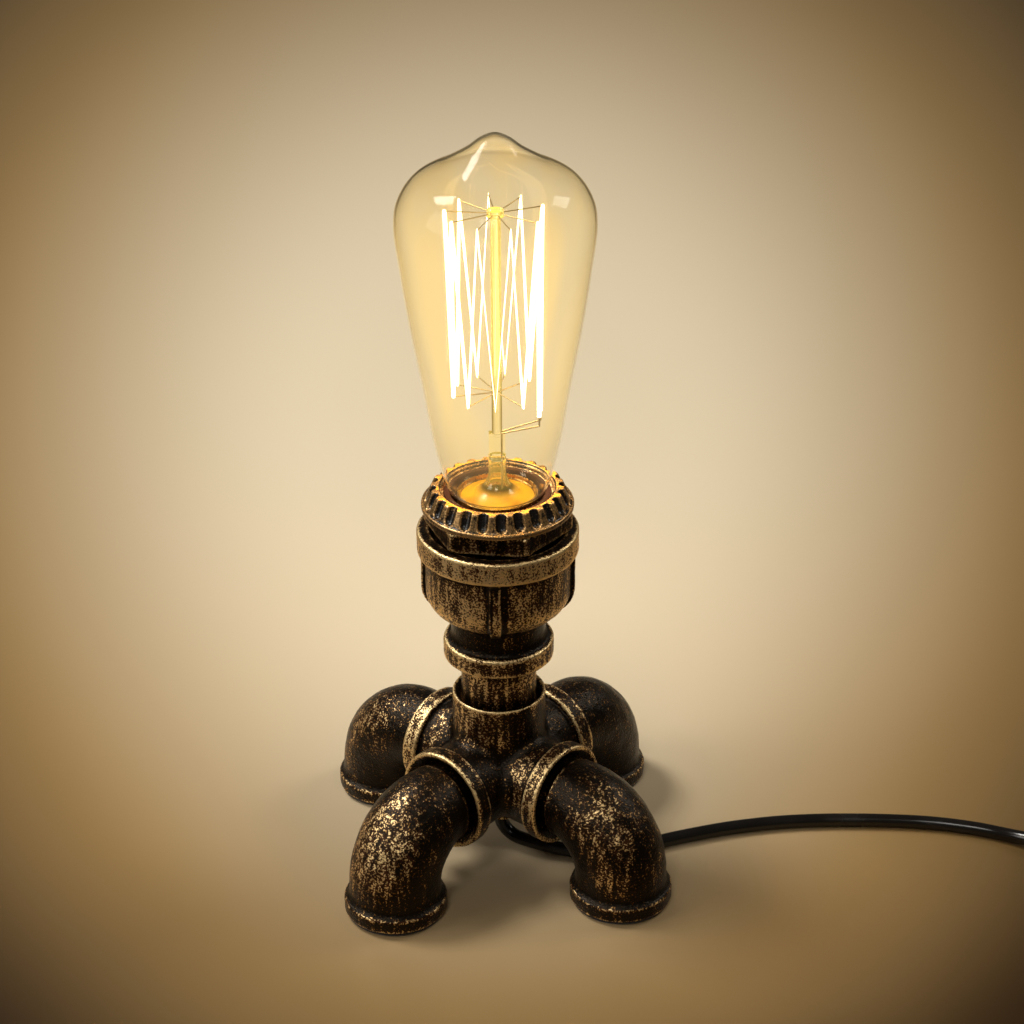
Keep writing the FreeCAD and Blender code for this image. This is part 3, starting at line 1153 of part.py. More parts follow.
def plug_pin_sleeves():
    """Insulating sleeves round the roots of the pins."""
    sleeves = []
    for face in plug_pin_places():
        end = face + V(PIN_SLEEVE_LENGTH, 0, 0)
        sleeves.append(rod(face, end, PIN_R).cut(rod(face - ALONG_X, end + ALONG_X, PIN_CORE_R + PIN_FIT)))
    return Part.makeCompound(sleeves)


# ---- Every node ----

os.makedirs("parts", exist_ok=True)

elbow, pad = street_elbow(), foot_pad()
for quarter, leg in enumerate(LEG_NAMES):
    save("elbow_" + leg, around(elbow, 90 * quarter))
    save("foot_pad_" + leg, around(pad, 90 * quarter))

save("cross_fitting", cross_fitting())
save("riser_nipple", riser_nipple())
save("reducer_coupling", reducer_coupling())
save("socket_housing", socket_housing())
save("socket_insulator", socket_insulator())
save("socket_sleeve", socket_sleeve())
save("socket_screw_shell", socket_screw_shell())
save("socket_centre_contact", socket_centre_contact())
save("socket_terminals", socket_terminals())
save("terminal_screws", terminal_screws())
save("insulator_screws", insulator_screws())
save("shade_ring", shade_ring())

save("bulb_glass", bulb_glass())
save("bulb_cap", bulb_cap())
save("bulb_cap_insulator", bulb_cap_insulator())
save("bulb_cap_contact", bulb_cap_contact())
save("bulb_stem", bulb_stem())
save("bulb_filament", bulb_filament())
save("bulb_filament_hooks", bulb_filament_hooks())
save("bulb_lead_wires", bulb_lead_wires())

save("cord_grip_bushing", cord_grip_bushing())
save("cord_grip_locknut", cord_grip_locknut())
save("inner_cord", inner_cord())
save("wire_live", core_to_terminal(1))
save("wire_neutral", core_to_terminal(-1))
save("cord_lamp_to_switch", round_tube("cord_lamp_to_switch", LAMP_TO_SWITCH, CORD_R))
save("cord_switch_to_coil", round_tube("cord_switch_to_coil", SWITCH_TO_COIL, CORD_R))
save("cord_coil", cord_coil())
save("cord_coil_to_plug", round_tube("cord_coil_to_plug", COIL_TO_PLUG, CORD_R))

for name, shape in (
    ("switch_lower_housing", switch_lower_housing()),
    ("switch_upper_housing", switch_upper_housing()),
    ("switch_rocker", switch_rocker()),
    ("switch_blade", switch_blade()),
    ("switch_contacts", switch_contacts()),
    ("switch_live_cores", switch_live_cores()),
    ("switch_neutral_core", switch_neutral_core()),
    ("switch_housing_screws", switch_housing_screws()),
):
    save(name, placed(shape, SWITCH_AT, SWITCH_TURN))

relief = strain_relief().translated(V(-SWITCH_LENGTH / 2 - RELIEF_LENGTH, 0, SWITCH_SPLIT_Z))
save("switch_relief_lamp_side", placed(relief, SWITCH_AT, SWITCH_TURN))
save("switch_relief_plug_side", placed(around(relief, 180), SWITCH_AT, SWITCH_TURN))

save("plug_body", placed(plug_body(), PLUG_AT, PLUG_TURN))
save("plug_relief", placed(strain_relief(), PLUG_AT, PLUG_TURN))
save("plug_pins", placed(plug_pins(), PLUG_AT, PLUG_TURN))
save("plug_pin_sleeves", placed(plug_pin_sleeves(), PLUG_AT, PLUG_TURN))
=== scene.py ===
# %% [markdown]
# # An industrial pipe lamp
# The lamp is built from cast pipe fittings: four elbows stand under a cross, a short pipe carries a bell
# reducer, and a filament bulb glows on top. The model comes from a CAD frame, so every fitting is already
# where it belongs. What is left is what a finisher does: soften the cast edges, paint the iron black,
# brush gold over it, blow the glass and light the bulb.

import math

import bmesh
import bpy
import numpy as np
from mathutils import Matrix, Vector


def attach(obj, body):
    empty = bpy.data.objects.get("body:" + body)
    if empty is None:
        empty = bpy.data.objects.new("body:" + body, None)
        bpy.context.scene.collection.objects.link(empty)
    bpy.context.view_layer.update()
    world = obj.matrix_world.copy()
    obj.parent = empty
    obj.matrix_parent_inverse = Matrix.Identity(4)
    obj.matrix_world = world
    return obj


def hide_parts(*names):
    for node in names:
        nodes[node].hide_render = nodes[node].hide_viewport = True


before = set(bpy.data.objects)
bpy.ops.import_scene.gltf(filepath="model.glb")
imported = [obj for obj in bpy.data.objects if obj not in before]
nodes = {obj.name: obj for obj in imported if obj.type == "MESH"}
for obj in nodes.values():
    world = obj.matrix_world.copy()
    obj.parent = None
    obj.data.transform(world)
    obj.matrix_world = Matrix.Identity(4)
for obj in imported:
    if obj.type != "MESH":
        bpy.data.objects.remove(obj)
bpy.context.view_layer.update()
MM = 0.001
print("nodes", len(nodes))

# %% [markdown]
# The camera looks down on the lamp from a little under thirty degrees, between its two front legs.
# It is placed by an azimuth, an elevation and a distance from a point on the lamp's axis, and then
# turned by three small angles, as the head of a tripod is trimmed.

# %% Camera
TARGET = Vector((0.0, 0.0, 110.0)) * MM
AZIMUTH, ELEVATION, DISTANCE = 41.03, 28.90, 857.9 * MM
PAN, TILT, ROLL = -0.320, 1.177, -0.456
LENS, SENSOR = 90.25, 36.0
CLIP_NEAR, CLIP_FAR = 0.05, 30.0


def camera_axes():
    """Columns right, up and back: the view from AZIMUTH and ELEVATION, then panned, tilted and rolled."""
    a, e = math.radians(AZIMUTH), math.radians(ELEVATION)
    back = Vector((math.sin(a) * math.cos(e), -math.cos(a) * math.cos(e), math.sin(e)))
    right = Vector((math.cos(a), math.sin(a), 0.0))
    rows = Matrix((right, back.cross(right), back))
    pan = Matrix.Rotation(math.radians(-PAN), 3, "Y")
    tilt = Matrix.Rotation(math.radians(-TILT), 3, "X")
    roll = Matrix.Rotation(math.radians(-ROLL), 3, "Z")
    return (roll @ tilt @ pan @ rows).transposed(), TARGET + back * DISTANCE


camera_data = bpy.data.cameras.new("Camera")
camera_data.lens, camera_data.sensor_width = LENS, SENSOR
camera_data.clip_start, camera_data.clip_end = CLIP_NEAR, CLIP_FAR
camera = bpy.data.objects.new("Camera", camera_data)
bpy.context.scene.collection.objects.link(camera)
axes, place = camera_axes()
camera.matrix_world = Matrix.Translation(place) @ axes.to_4x4()
bpy.context.scene.camera = camera
print("camera at", [round(v, 3) for v in place])

# %% [markdown]
# A node material is a small graph. Writing it with one helper that makes a node, sets its options and
# fills its sockets keeps each material as short as its recipe: a socket is filled with a plain value,
# or with another node's output, which makes a link.

# %% A helper for material graphs
BLOTCH = 0.55           # metres across for the blotches of a noise whose scale is 1
NOISE_MIDDLE = 0.3, 0.7  # most of a noise's values lie between these


class Recipe:
    """One material's node graph. Calling it adds a node and returns it."""

    def __init__(self, name):
        self.material = bpy.data.materials.new(name)
        self.material.use_nodes = True
        self.tree = self.material.node_tree
        self.tree.nodes.clear()
        self.output = self.tree.nodes.new("ShaderNodeOutputMaterial")

    def __call__(self, kind, sockets=None, **options):
        made = self.tree.nodes.new("ShaderNode" + kind)
        for key, value in options.items():
            setattr(made, key, value)
        for key, value in (sockets or {}).items():
            if isinstance(value, bpy.types.NodeSocket):
                self.tree.links.new(value, made.inputs[key])
            else:
                made.inputs[key].default_value = value
        return made

    def place(self, scale=(1.0, 1.0, 1.0)):
        """The point on the object, in metres, stretched along its own axes."""
        coordinates = self("TexCoord").outputs["Object"]
        return self("Mapping", {"Vector": coordinates, "Scale": scale}).outputs["Vector"]

    def height(self, where):
        """The height of such a point, in metres."""
        return self("SeparateXYZ", {0: where}).outputs["Z"]

    def noise(self, where, size, detail=2.0, roughness=0.5):
        """A cloud pattern from 0 to 1 whose blotches are about `size` metres across."""
        sockets = {"Vector": where, "Scale": BLOTCH / size, "Detail": detail, "Roughness": roughness}
        return self("TexNoise", sockets).outputs["Fac"]

    def ramp(self, value, low, high, to_low=0.0, to_high=1.0):
        """value from low to high becomes to_low to to_high, with soft ends."""
        sockets = {"Value": value, "From Min": low, "From Max": high, "To Min": to_low, "To Max": to_high}
        return self("MapRange", sockets, interpolation_type="SMOOTHSTEP").outputs["Result"]

    def spread(self, noise, to_low, to_high):
        """The middle of a noise becomes to_low to to_high."""
        return self.ramp(noise, *NOISE_MIDDLE, to_low, to_high)

    def math(self, operation, a, b):
        """Arithmetic on two values."""
        return self("Math", {0: a, 1: b}, operation=operation).outputs["Value"]

    def mix(self, share, a, b):
        """Colour a where share is 0, b where it is 1. On a Mix node, colours are sockets 6 and 7."""
        return self("Mix", {0: share, 6: a, 7: b}, data_type="RGBA").outputs[2]

    def mix_value(self, share, a, b):
        """Value a where share is 0, b where it is 1. On a Mix node, values are sockets 2 and 3."""
        return self("Mix", {0: share, 2: a, 3: b}, data_type="FLOAT").outputs[0]

    def bump(self, strength, depth, height):
        """Normals that lean as if the surface stood up to `depth` metres proud where height is 1."""
        sockets = {"Strength": strength, "Distance": depth, "Height": height}
        return self("Bump", sockets).outputs["Normal"]

    def finish(self, sockets):
        """The Principled shader with these sockets becomes the surface."""
        shader = self("BsdfPrincipled", sockets)
        self.tree.links.new(shader.outputs["BSDF"], self.output.inputs["Surface"])
        return self.material


SCREEN_WHITE, SCREEN_GAMMA = 255, 2.2


def rgb(red, green, blue):
    """A colour as a screen shows it, from 0 to 255, turned to the linear values that shaders mix."""
    return tuple((c / SCREEN_WHITE) ** SCREEN_GAMMA for c in (red, green, blue)) + (1.0,)


def scaled(colour, factor):
    """The colour, lighter or darker by this factor."""
    return tuple(factor * c for c in colour[:3]) + (1.0,)


def dress(material, *names):
    """CAD nodes keep their shape and get this material."""
    for name in names:
        for slot in nodes[name].material_slots:
            slot.material = material


# %% [markdown]
# The set is a wide, pale, slightly glossy table. It is one disc, so no edge or corner shows behind the
# lamp. A pool of light a little behind the lamp is painted into the table's colour, and painted shade
# darkens the table away from it. Light that pools on a table looks round in a picture, so the painted
# pool is drawn in perspective: across and along the line of sight, both shrunk by the distance.

# %% The table
TABLE_RADIUS, TABLE_SIDES = 9.0, 96
SHRINK, LEAST_SIZE = 0.961, 0.25
POOL_BEHIND, POOL_WIDTH, POOL_DEPTH = 0.25, 0.163, 0.305
# The cream is the painted pool of light, and the browns around it are painted shade.
CREAM, LIGHT_BROWN, PAINTED_SHADE_BROWN = rgb(226, 211, 182), rgb(146, 119, 78), rgb(46, 32, 16)
CREAM_FADES, BROWN_FADES = (0.35, 1.25), (1.0, 1.68)


def table_material():
    """Painted light: warm cream in the painted pool, browner outside it, and a dark brown of painted shade
    far away, with a soft gloss. A point's places across and along the line of sight are both divided by
    1 + SHRINK times its place along. Its distance from the pool's middle, in pool sizes, then sets the
    colour."""
    r = Recipe("table_painted_pool")
    turned = r("Mapping", {"Vector": r.place(), "Rotation": (0.0, 0.0, -math.radians(AZIMUTH))})
    axes = r("SeparateXYZ", {0: turned.outputs["Vector"]}).outputs
    size = r.math("MAXIMUM", r.math("ADD", r.math("MULTIPLY", axes["Y"], SHRINK), 1.0), LEAST_SIZE)
    across = r.math("DIVIDE", r.math("DIVIDE", axes["X"], size), POOL_WIDTH)
    behind = r.math("SUBTRACT", r.math("DIVIDE", axes["Y"], size), POOL_BEHIND)
    along = r.math("DIVIDE", behind, POOL_DEPTH)
    squares = r.math("ADD", r.math("MULTIPLY", across, across), r.math("MULTIPLY", along, along))
    away = r.math("SQRT", squares, 0.0)
    near = r.mix(r.ramp(away, *CREAM_FADES), CREAM, LIGHT_BROWN)
    colour = r.mix(r.ramp(away, *BROWN_FADES), near, PAINTED_SHADE_BROWN)
    return r.finish({"Base Color": colour, "Roughness": 0.3, "Specular IOR Level": 0.3})


turns = np.linspace(0, 2 * np.pi, TABLE_SIDES + 1)[:-1]
rim = np.stack([np.cos(turns), np.sin(turns), np.zeros(TABLE_SIDES)], 1) * TABLE_RADIUS
table_mesh = bpy.data.meshes.new("table")
table_mesh.from_pydata(rim.tolist(), [], [list(range(TABLE_SIDES))])
table = bpy.data.objects.new("table", table_mesh)
bpy.context.scene.collection.objects.link(table)
table_mesh.materials.append(table_material())
print("table", TABLE_RADIUS, "m in radius")

# %% [markdown]
# Four soft lamps light it: a key behind and to the left, high up, a low one like a window on the left,
# a fill from the camera's side, and a rim on the right. The bulb adds its own warm point of light inside
# the glass. The glass casts no shadow, or that point would light nothing, and the point itself stays out
# of sight, because what one sees in a bulb is its filament.

# %% Lights
AIM = Vector((0.0, 0.0, 0.1))
BULB_LIGHT_Z, BULB_LIGHT_RADIUS = 170.0 * MM, 0.014
BULB_WATTS, BULB_COLOUR = 0.26, (1.0, 0.68, 0.34)
SKY_COLOUR, SKY_STRENGTH = rgb(214, 200, 178), 0.15


def area_light(name, across, along, height, size, power, colour):
    """A square soft light that looks at the lamp, placed in metres across and along the line of sight."""
    data = bpy.data.lights.new(name, "AREA")
    data.size, data.energy, data.color = size, power, colour
    light = bpy.data.objects.new(name, data)
    bpy.context.scene.collection.objects.link(light)
    turn = Matrix.Rotation(math.radians(AZIMUTH), 3, "Z")
    light.location = turn @ Vector((across, along, height))
    light.rotation_euler = (AIM - light.location).to_track_quat("-Z", "Y").to_euler()


area_light("key_light", -1.05, 0.55, 1.75, 0.55, 30.0, (1.0, 0.97, 0.92))
area_light("window_light", -1.45, -0.4, 0.95, 0.8, 8.0, (1.0, 0.95, 0.87))
area_light("fill_light", -0.3, -1.4, 1.8, 0.6, 9.5, (1.0, 0.96, 0.9))
area_light("rim_light", 1.3, 0.6, 1.3, 0.6, 8.0, (1.0, 0.96, 0.89))

bulb_light = bpy.data.lights.new("bulb_light", "POINT")
bulb_light.energy, bulb_light.color = BULB_WATTS, BULB_COLOUR
bulb_light.shadow_soft_size = BULB_LIGHT_RADIUS
bulb_lamp = bpy.data.objects.new("bulb_light", bulb_light)
bpy.context.scene.collection.objects.link(bulb_lamp)
bulb_lamp.location = (0.0, 0.0, BULB_LIGHT_Z)
bulb_lamp.visible_camera = bulb_lamp.visible_glossy = bulb_lamp.visible_transmission = False

world = bpy.data.worlds.new("World")
bpy.context.scene.world = world
world.use_nodes = True
sky = world.node_tree.nodes["Background"]
sky.inputs["Color"].default_value = SKY_COLOUR
sky.inputs["Strength"].default_value = SKY_STRENGTH
bpy.context.scene.view_settings.view_transform = "Standard"
print("lights", len(bpy.data.lights))

# %% [markdown]
# The cord comes out of a bushing under the cross, bends onto the table between two legs and wanders
# off to the right in one long lazy curve. A stretch of it is put away past the edge of the view: after
# the switch it winds into a flat double coil and ends in a plug. A NURBS spline of order 3 turns a few
# listed points, in millimetres, into one smooth line.

# %% The cord's line
CORD = 4.8
CORD_DIAMETER = CORD * MM
LAMP_TO_SWITCH = (
    (0.0, 0.0, 12.5), (0.0, 0.0, 8.3), (2.1, 0.5, 4.5), (5.8, 1.3, 2.4),
    (12.8, 2.7, 2.4), (24.0, 5.6, 2.4), (35.4, 13.2, 2.4), (43.6, 25.6, 2.4),
    (51.6, 40.2, 2.4), (62.0, 56.4, 2.4), (75.5, 72.4, 2.4), (92.6, 87.6, 2.4),
    (110.8, 101.4, 2.4), (126.5, 109.8, 2.4), (138.5, 113.9, 2.4), (149.5, 114.9, 4.4),
    (160.0, 113.2, 6.5),
)
SWITCH_TO_COIL = ((246.7, 97.9, 6.5), (253.9, 96.6, 5.2), (261.0, 95.3, 3.2))
COIL_TO_PLUG = ((300.9, 45.0, 7.2), (300.4, 34.0, 6.9))
COIL_CENTRE = (261.7, 56.0)
COIL_OUTER, COIL_INNER = 38.7, 18.9
COIL_START, COIL_TURNS, COIL_STEPS = 80.0, 8 + 80.0 / 360.0, 16
COIL_CLIMB, CLIMB_TUCK = 0.18, 0.5  # turns that the climb takes, and how far it tucks inwards
SPLINE_ORDER, SPLINE_STEPS, TUBE_STEPS = 3, 8, 5


def coil_points():
    """Points clockwise round the coil: the radius shrinks evenly to the middle turn and grows back, and
    the height steps up by one cord at the middle. The spline cuts inside its points by the cosine of
    half a step, so the points stand that much further out."""
    count = round(COIL_TURNS * COIL_STEPS)
    points = []
    for step in range(count + 1):
        share = step / count
        angle = math.radians(COIL_START - 360.0 * COIL_TURNS * share)
        radius = COIL_INNER + (COIL_OUTER - COIL_INNER) * abs(2 * share - 1)
        climb = min(max((share - 0.5) * COIL_TURNS / COIL_CLIMB, 0.0), 1.0)
        radius = (radius - CLIMB_TUCK * climb * (1 - climb)) / math.cos(math.pi / COIL_STEPS)
        x, y = COIL_CENTRE[0] + radius * math.cos(angle), COIL_CENTRE[1] + radius * math.sin(angle)
        points.append((x, y, CORD / 2 + CORD * climb))
    return tuple(points)


def cord_curve(name, points, material):
    """A round tube along an open NURBS spline that starts and ends on its outer points."""
    curve = bpy.data.curves.new(name, "CURVE")
    curve.dimensions = "3D"
    curve.resolution_u = SPLINE_STEPS
    curve.bevel_depth, curve.bevel_resolution = CORD_DIAMETER / 2, TUBE_STEPS
    curve.use_fill_caps = True
    spline = curve.splines.new("NURBS")
    spline.points.add(len(points) - 1)
    for point, (x, y, z) in zip(spline.points, points):
        point.co = (x * MM, y * MM, z * MM, 1.0)
    spline.order_u = SPLINE_ORDER
    spline.use_endpoint_u = True
    cord = bpy.data.objects.new(name, curve)
    bpy.context.scene.collection.objects.link(cord)
    curve.materials.append(material)
    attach(cord, "lamp")
    return cord


# %% [markdown]
# The cord's jacket is soft black PVC: nearly black, with a clear gloss that is broken by a faint
# pebbling from the extruder.

# %% Black PVC
PEBBLE_DEPTH, HAZE_SIZE = 0.05 * MM, 9.0 * MM
HAZE_LIGHTENS = 1.6


def soft_black(name, colour, roughness, pebble, size):
    """A black plastic or rubber with faint pebbling and a little uneven gloss."""
    r = Recipe(name)
    where = r.place()
    grain = r.noise(where, size, 3.0)
    haze = r.noise(where, HAZE_SIZE, 2.0)
    gloss = r.spread(haze, roughness - 0.06, roughness + 0.08)
    bump = r.bump(pebble, PEBBLE_DEPTH, grain)
    tone = r.mix(r.ramp(haze, 0.35, 0.75), colour, scaled(colour, HAZE_LIGHTENS))
    return r.finish({"Base Color": tone, "Roughness": gloss, "Normal": bump, "Specular IOR Level": 0.5})


black_pvc = soft_black("black_pvc", rgb(20, 18, 17), 0.22, 0.25, 0.5 * MM)
lamp_cord = cord_curve("cord_to_switch", LAMP_TO_SWITCH, black_pvc)
plug_cord = cord_curve("cord_to_plug", SWITCH_TO_COIL + coil_points() + COIL_TO_PLUG, black_pvc)
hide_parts("cord_lamp_to_switch")
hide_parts("cord_switch_to_coil", "cord_coil", "cord_coil_to_plug")
print("cords made, with", len(coil_points()), "points round the coil")

# %% [markdown]
# The fittings are castings: their edges are soft, and their skin is uneven. A CAD mesh is a loose heap
# of sharp triangles, so a copy of each fitting is merged and rebuilt on a fine grid of cubes, relaxed a
# little to round its edges, and pushed in and out by a few hundredths of a millimetre.
# Then each point gets one number for the paint: how much gold the brush leaves there, with painted
# highlights and painted shade in it too. It starts from a plan for the fitting, and grows where the point
# stands out as an edge or from the broad shape. A finisher's dry brush leaves gold on exactly those
# places and none in the hollows.

# %% Castings from the CAD fittings
WELD = 0.001 * MM
RELAX, INFLATE = 0.5, 0.52  # a step towards the neighbours, and a step back that keeps the size
WAVES = 9
LUMP, PEBBLE, PEBBLE_SHARE = 7.0 * MM, 1.7 * MM, 0.35
EDGE_ROUNDS, EDGE_LIMITS, EDGE_WEAR = 4, (-0.12, 0.14), 3.2
BULGE_ROUNDS, BULGE_LIMITS, BULGE_WEAR = 60, (-0.8, 0.4), 0.08


def neighbour_means(points, edges, counts):
    """For each vertex, the mean place of the vertices that share an edge with it."""
    total = np.empty_like(points)
    for axis in range(3):
        values = points[:, axis]
        total[:, axis] = (np.bincount(edges[:, 0], values[edges[:, 1]], len(points))
                          + np.bincount(edges[:, 1], values[edges[:, 0]], len(points)))
    return total / counts[:, None]


def lumps(points, size, seed):
    """Smooth unevenness, mostly between -1 and 1: the sum of WAVES sines, about `size` long, in random
    directions."""
    random = np.random.default_rng(seed)
    total = np.zeros(len(points))
    for _ in range(WAVES):
        direction = random.normal(size=3)
        direction *= 2 * np.pi / (size * np.linalg.norm(direction)) * random.uniform(0.6, 1.5)
        total += np.sin(points @ direction + random.uniform(0, 2 * np.pi))
    return total / (WAVES / 2)


def read_vectors(items, key):
    """The vectors under `key` of a mesh's vertices or normals, as rows."""
    values = np.empty(len(items) * 3, np.float32)
    items.foreach_get(key, values)
    return values.reshape(-1, 3).astype(float)


def rebuilt(node_name, name, grid):
    """A new object with the node's shape on a grid of cubes, without modifiers."""
    mesh = nodes[node_name].data.copy()
    mesh.name = name
    piece = bpy.data.objects.new(name, mesh)
    bpy.context.scene.collection.objects.link(piece)
    piece.modifiers.new("weld", "WELD").merge_threshold = WELD
    remesh = piece.modifiers.new("grid", "REMESH")
    remesh.mode, remesh.voxel_size = "VOXEL", grid
    built = bpy.data.meshes.new_from_object(piece.evaluated_get(bpy.context.evaluated_depsgraph_get()))
    piece.modifiers.clear()
    piece.data = built
    return piece


def casting(name, node_name, grid, soften, skin, seed, zones, paint, body="lamp"):
    """A cast copy of a CAD node: rebuilt on a cubic grid, relaxed, and given an uneven skin. `zones` says
    how much gold the brush leaves at each place, painted highlight and shade included, and proud and hollow
    spots add to it or take away. How proud a point is, in mm, is its distance from where rounds of
    averaging with its neighbours move it."""
    piece = rebuilt(node_name, name, grid)
    mesh = piece.data
    points = read_vectors(mesh.vertices, "co")
    edges = np.empty(len(mesh.edges) * 2, np.int32)
    mesh.edges.foreach_get("vertices", edges)
    edges = edges.reshape(-1, 2)
    counts = np.maximum(np.bincount(edges.ravel(), minlength=len(points)), 1)
    for _ in range(soften):
        points += RELAX * (neighbour_means(points, edges, counts) - points)
        points -= INFLATE * (neighbour_means(points, edges, counts) - points)
    mesh.vertices.foreach_set("co", points.astype(np.float32).ravel())
    mesh.update()
    normals = read_vectors(mesh.vertex_normals, "vector")
    gold = zones(points / MM, normals)
    smooth = points.copy()
    for rounds, limits, wear in ((EDGE_ROUNDS, EDGE_LIMITS, EDGE_WEAR),
                                 (BULGE_ROUNDS, BULGE_LIMITS, BULGE_WEAR)):
        for _ in range(rounds):
            smooth = neighbour_means(smooth, edges, counts)
        proud = ((points - smooth) * normals).sum(1) / MM
        gold = gold + wear * np.clip(proud, *limits)
    unevenness = lumps(points, LUMP, seed) * skin + lumps(points, PEBBLE, seed + 1) * skin * PEBBLE_SHARE
    points += normals * unevenness[:, None]
    mesh.vertices.foreach_set("co", points.astype(np.float32).ravel())
    layer = mesh.attributes.new("gold", "FLOAT", "POINT")
    layer.data.foreach_set("value", np.clip(gold, 0.0, 1.0).astype(np.float32))
    mesh.polygons.foreach_set("use_smooth", np.ones(len(mesh.polygons), bool))
    mesh.update()
    mesh.materials.clear()
    mesh.materials.append(paint)
    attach(piece, body)
    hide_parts(node_name)
    print(name, "faces", len(mesh.polygons), "gold", np.percentile(gold, (5, 50, 95)).round(2))
    return piece


# %% [markdown]
# The paint is three coats. A black-brown enamel covers everything. A reddish brown shows through in
# patches. Then gold is dragged over with a nearly dry brush: it catches the grain of the casting as a
# dense speckle, in strokes that run down the fitting. Where a place should carry much gold the speckle
# closes up and turns a lighter gold, which is partly a painted highlight, and in the hollows hardly a
# grain is left and the enamel keeps its gloss.

# %% Dry-brushed bronze
BLACK_ENAMEL, RED_BROWN = rgb(9, 6, 4), rgb(74, 42, 22)
# The second gold is lighter: where much gold lies it stands partly for a painted highlight.
OLD_GOLD, HIGHLIGHT_GOLD = rgb(132, 90, 44), rgb(250, 218, 158)
GRAIN = 0.36 * MM
STROKE_WIDTH, STROKE_LENGTH, STROKE_SWAY = 0.9 * MM, 6.0 * MM, 0.16
PATCH, PATCH_SWAY = 5.0 * MM, 0.07
GRAIN_TOP, LOAD_LOWERS = 0.69, 0.4  # the threshold with no gold, and how far a full load lowers it
GRAIN_EDGE = -0.03, 0.05
BROWN_LOAD, HIGHLIGHT_LOAD = (0.15, 0.6), (0.15, 0.65)
GOLD_METALLIC, GRAIN_DEPTH = 0.9, 0.3 * MM


def dry_brushed(name):
    """Aged bronze. The grain of a fine noise shows gold where it is above a threshold, and the threshold
    falls with the gold that the place carries, so that share of its area turns gold, lighter where there is
    much: partly a painted highlight. Between the grains the enamel is black where there is little gold and
    a reddish brown where there is much."""
    r = Recipe(name)
    plain = r.place()
    grain = r.noise(plain, GRAIN, 1.5, 0.6)
    strokes = r.noise(r.place((1.0, 1.0, STROKE_WIDTH / STROKE_LENGTH)), STROKE_WIDTH, 2.0, 0.5)
    patches = r.noise(plain, PATCH, 2.0, 0.5)
    load = r("Attribute", attribute_name="gold").outputs["Fac"]
    load = r.math("ADD", load, r.spread(strokes, -STROKE_SWAY, STROKE_SWAY))
    load = r.math("ADD", load, r.spread(patches, -PATCH_SWAY, PATCH_SWAY))
    reach = r.math("ADD", r.math("SUBTRACT", grain, GRAIN_TOP), r.math("MULTIPLY", load, LOAD_LOWERS))
    mask = r.ramp(reach, *GRAIN_EDGE)
    brown = r.mix(r.ramp(load, *BROWN_LOAD), BLACK_ENAMEL, RED_BROWN)
    gilt_and_highlight = r.mix(r.ramp(r.math("ADD", reach, load), *HIGHLIGHT_LOAD), OLD_GOLD, HIGHLIGHT_GOLD)
    rough = r.ramp(r.math("MAXIMUM", mask, load), 0.0, 0.6, 0.3, 0.36)
    bump = r.bump(1.0, GRAIN_DEPTH, grain)
    return r.finish({"Base Color": r.mix(mask, brown, gilt_and_highlight),
                     "Metallic": r.ramp(mask, 0.0, 1.0, 0.0, GOLD_METALLIC),
                     "Roughness": rough, "Normal": bump, "Specular IOR Level": 0.22,
                     "Specular Tint": (1.0, 0.8, 0.6, 1.0)})


brushed = dry_brushed("brushed_bronze")
print("paint", brushed.name, "with", len(brushed.node_tree.nodes), "nodes")

# %% [markdown]
# Where the gold lies differs from fitting to fitting. On the elbows it is the outside of the bend, on
# the cross the port bands and the top of the barrels, and on the reducer both bands and the bowl, but
# not its ribs, its neck, which is left dark as painted shade, or the inside of its mouth. The side that
# faces the front and above carries the most, as a painted highlight. Each function below is a painter's
# plan: it gives the gold, from 0 to 1, at places in millimetres.

# %% Where the gold lies
CROSS_Z, LEG_REACH, BEND_R = 31.0, 54.2, 20.0
# Painted highlight: gold grows where a surface faces this direction, the light from the front and above.
HIGHLIGHT_FROM = np.array([0.05, -0.82, 0.57])
HIGHLIGHT_EDGE = 0.35, 0.95


def blend(value, low, high):
    """0 below low, 1 above high, and a smooth step between."""
    share = np.clip((value - low) / (high - low), 0.0, 1.0)
    return share * share * (3 - 2 * share)


def painted_highlight_side(normals):
    """A painted highlight from 0 to 1: the cosine to the light's direction, with a smooth edge."""
    return blend(normals @ HIGHLIGHT_FROM, *HIGHLIGHT_EDGE)


def leg_directions(points):
    """Each place's distance along the nearest of the four legs, and sideways from it."""
    along, sideways = np.abs(points[:, 0]), np.abs(points[:, 1])
    return np.maximum(along, sideways), np.minimum(along, sideways)


# %% [markdown]
# An elbow's plan follows its bend: the angle round the bend and the distance beyond the centreline are
# worked out first. Little gold lies by the throat, and hardly any on the foot's band, which stays dark.

# %% Gold on the elbows
ELBOW_BASE, ELBOW_HIGHLIGHT = 0.07, 0.21
BEYOND_RISE = -4.0, 10.0         # mm beyond the centreline
THROAT_SHARE, THROAT_TURN = 0.3, (5.0, 40.0)
FOOT_LOSS, FOOT_TURN = 0.5, (80.0, 90.0)
FOOT_BAND_TOP, FOOT_BAND_R = 6.7, 14.0
SOLE_TOP, PORT_FACE = 2.0, 31.6
FACES_DOWN = -0.9


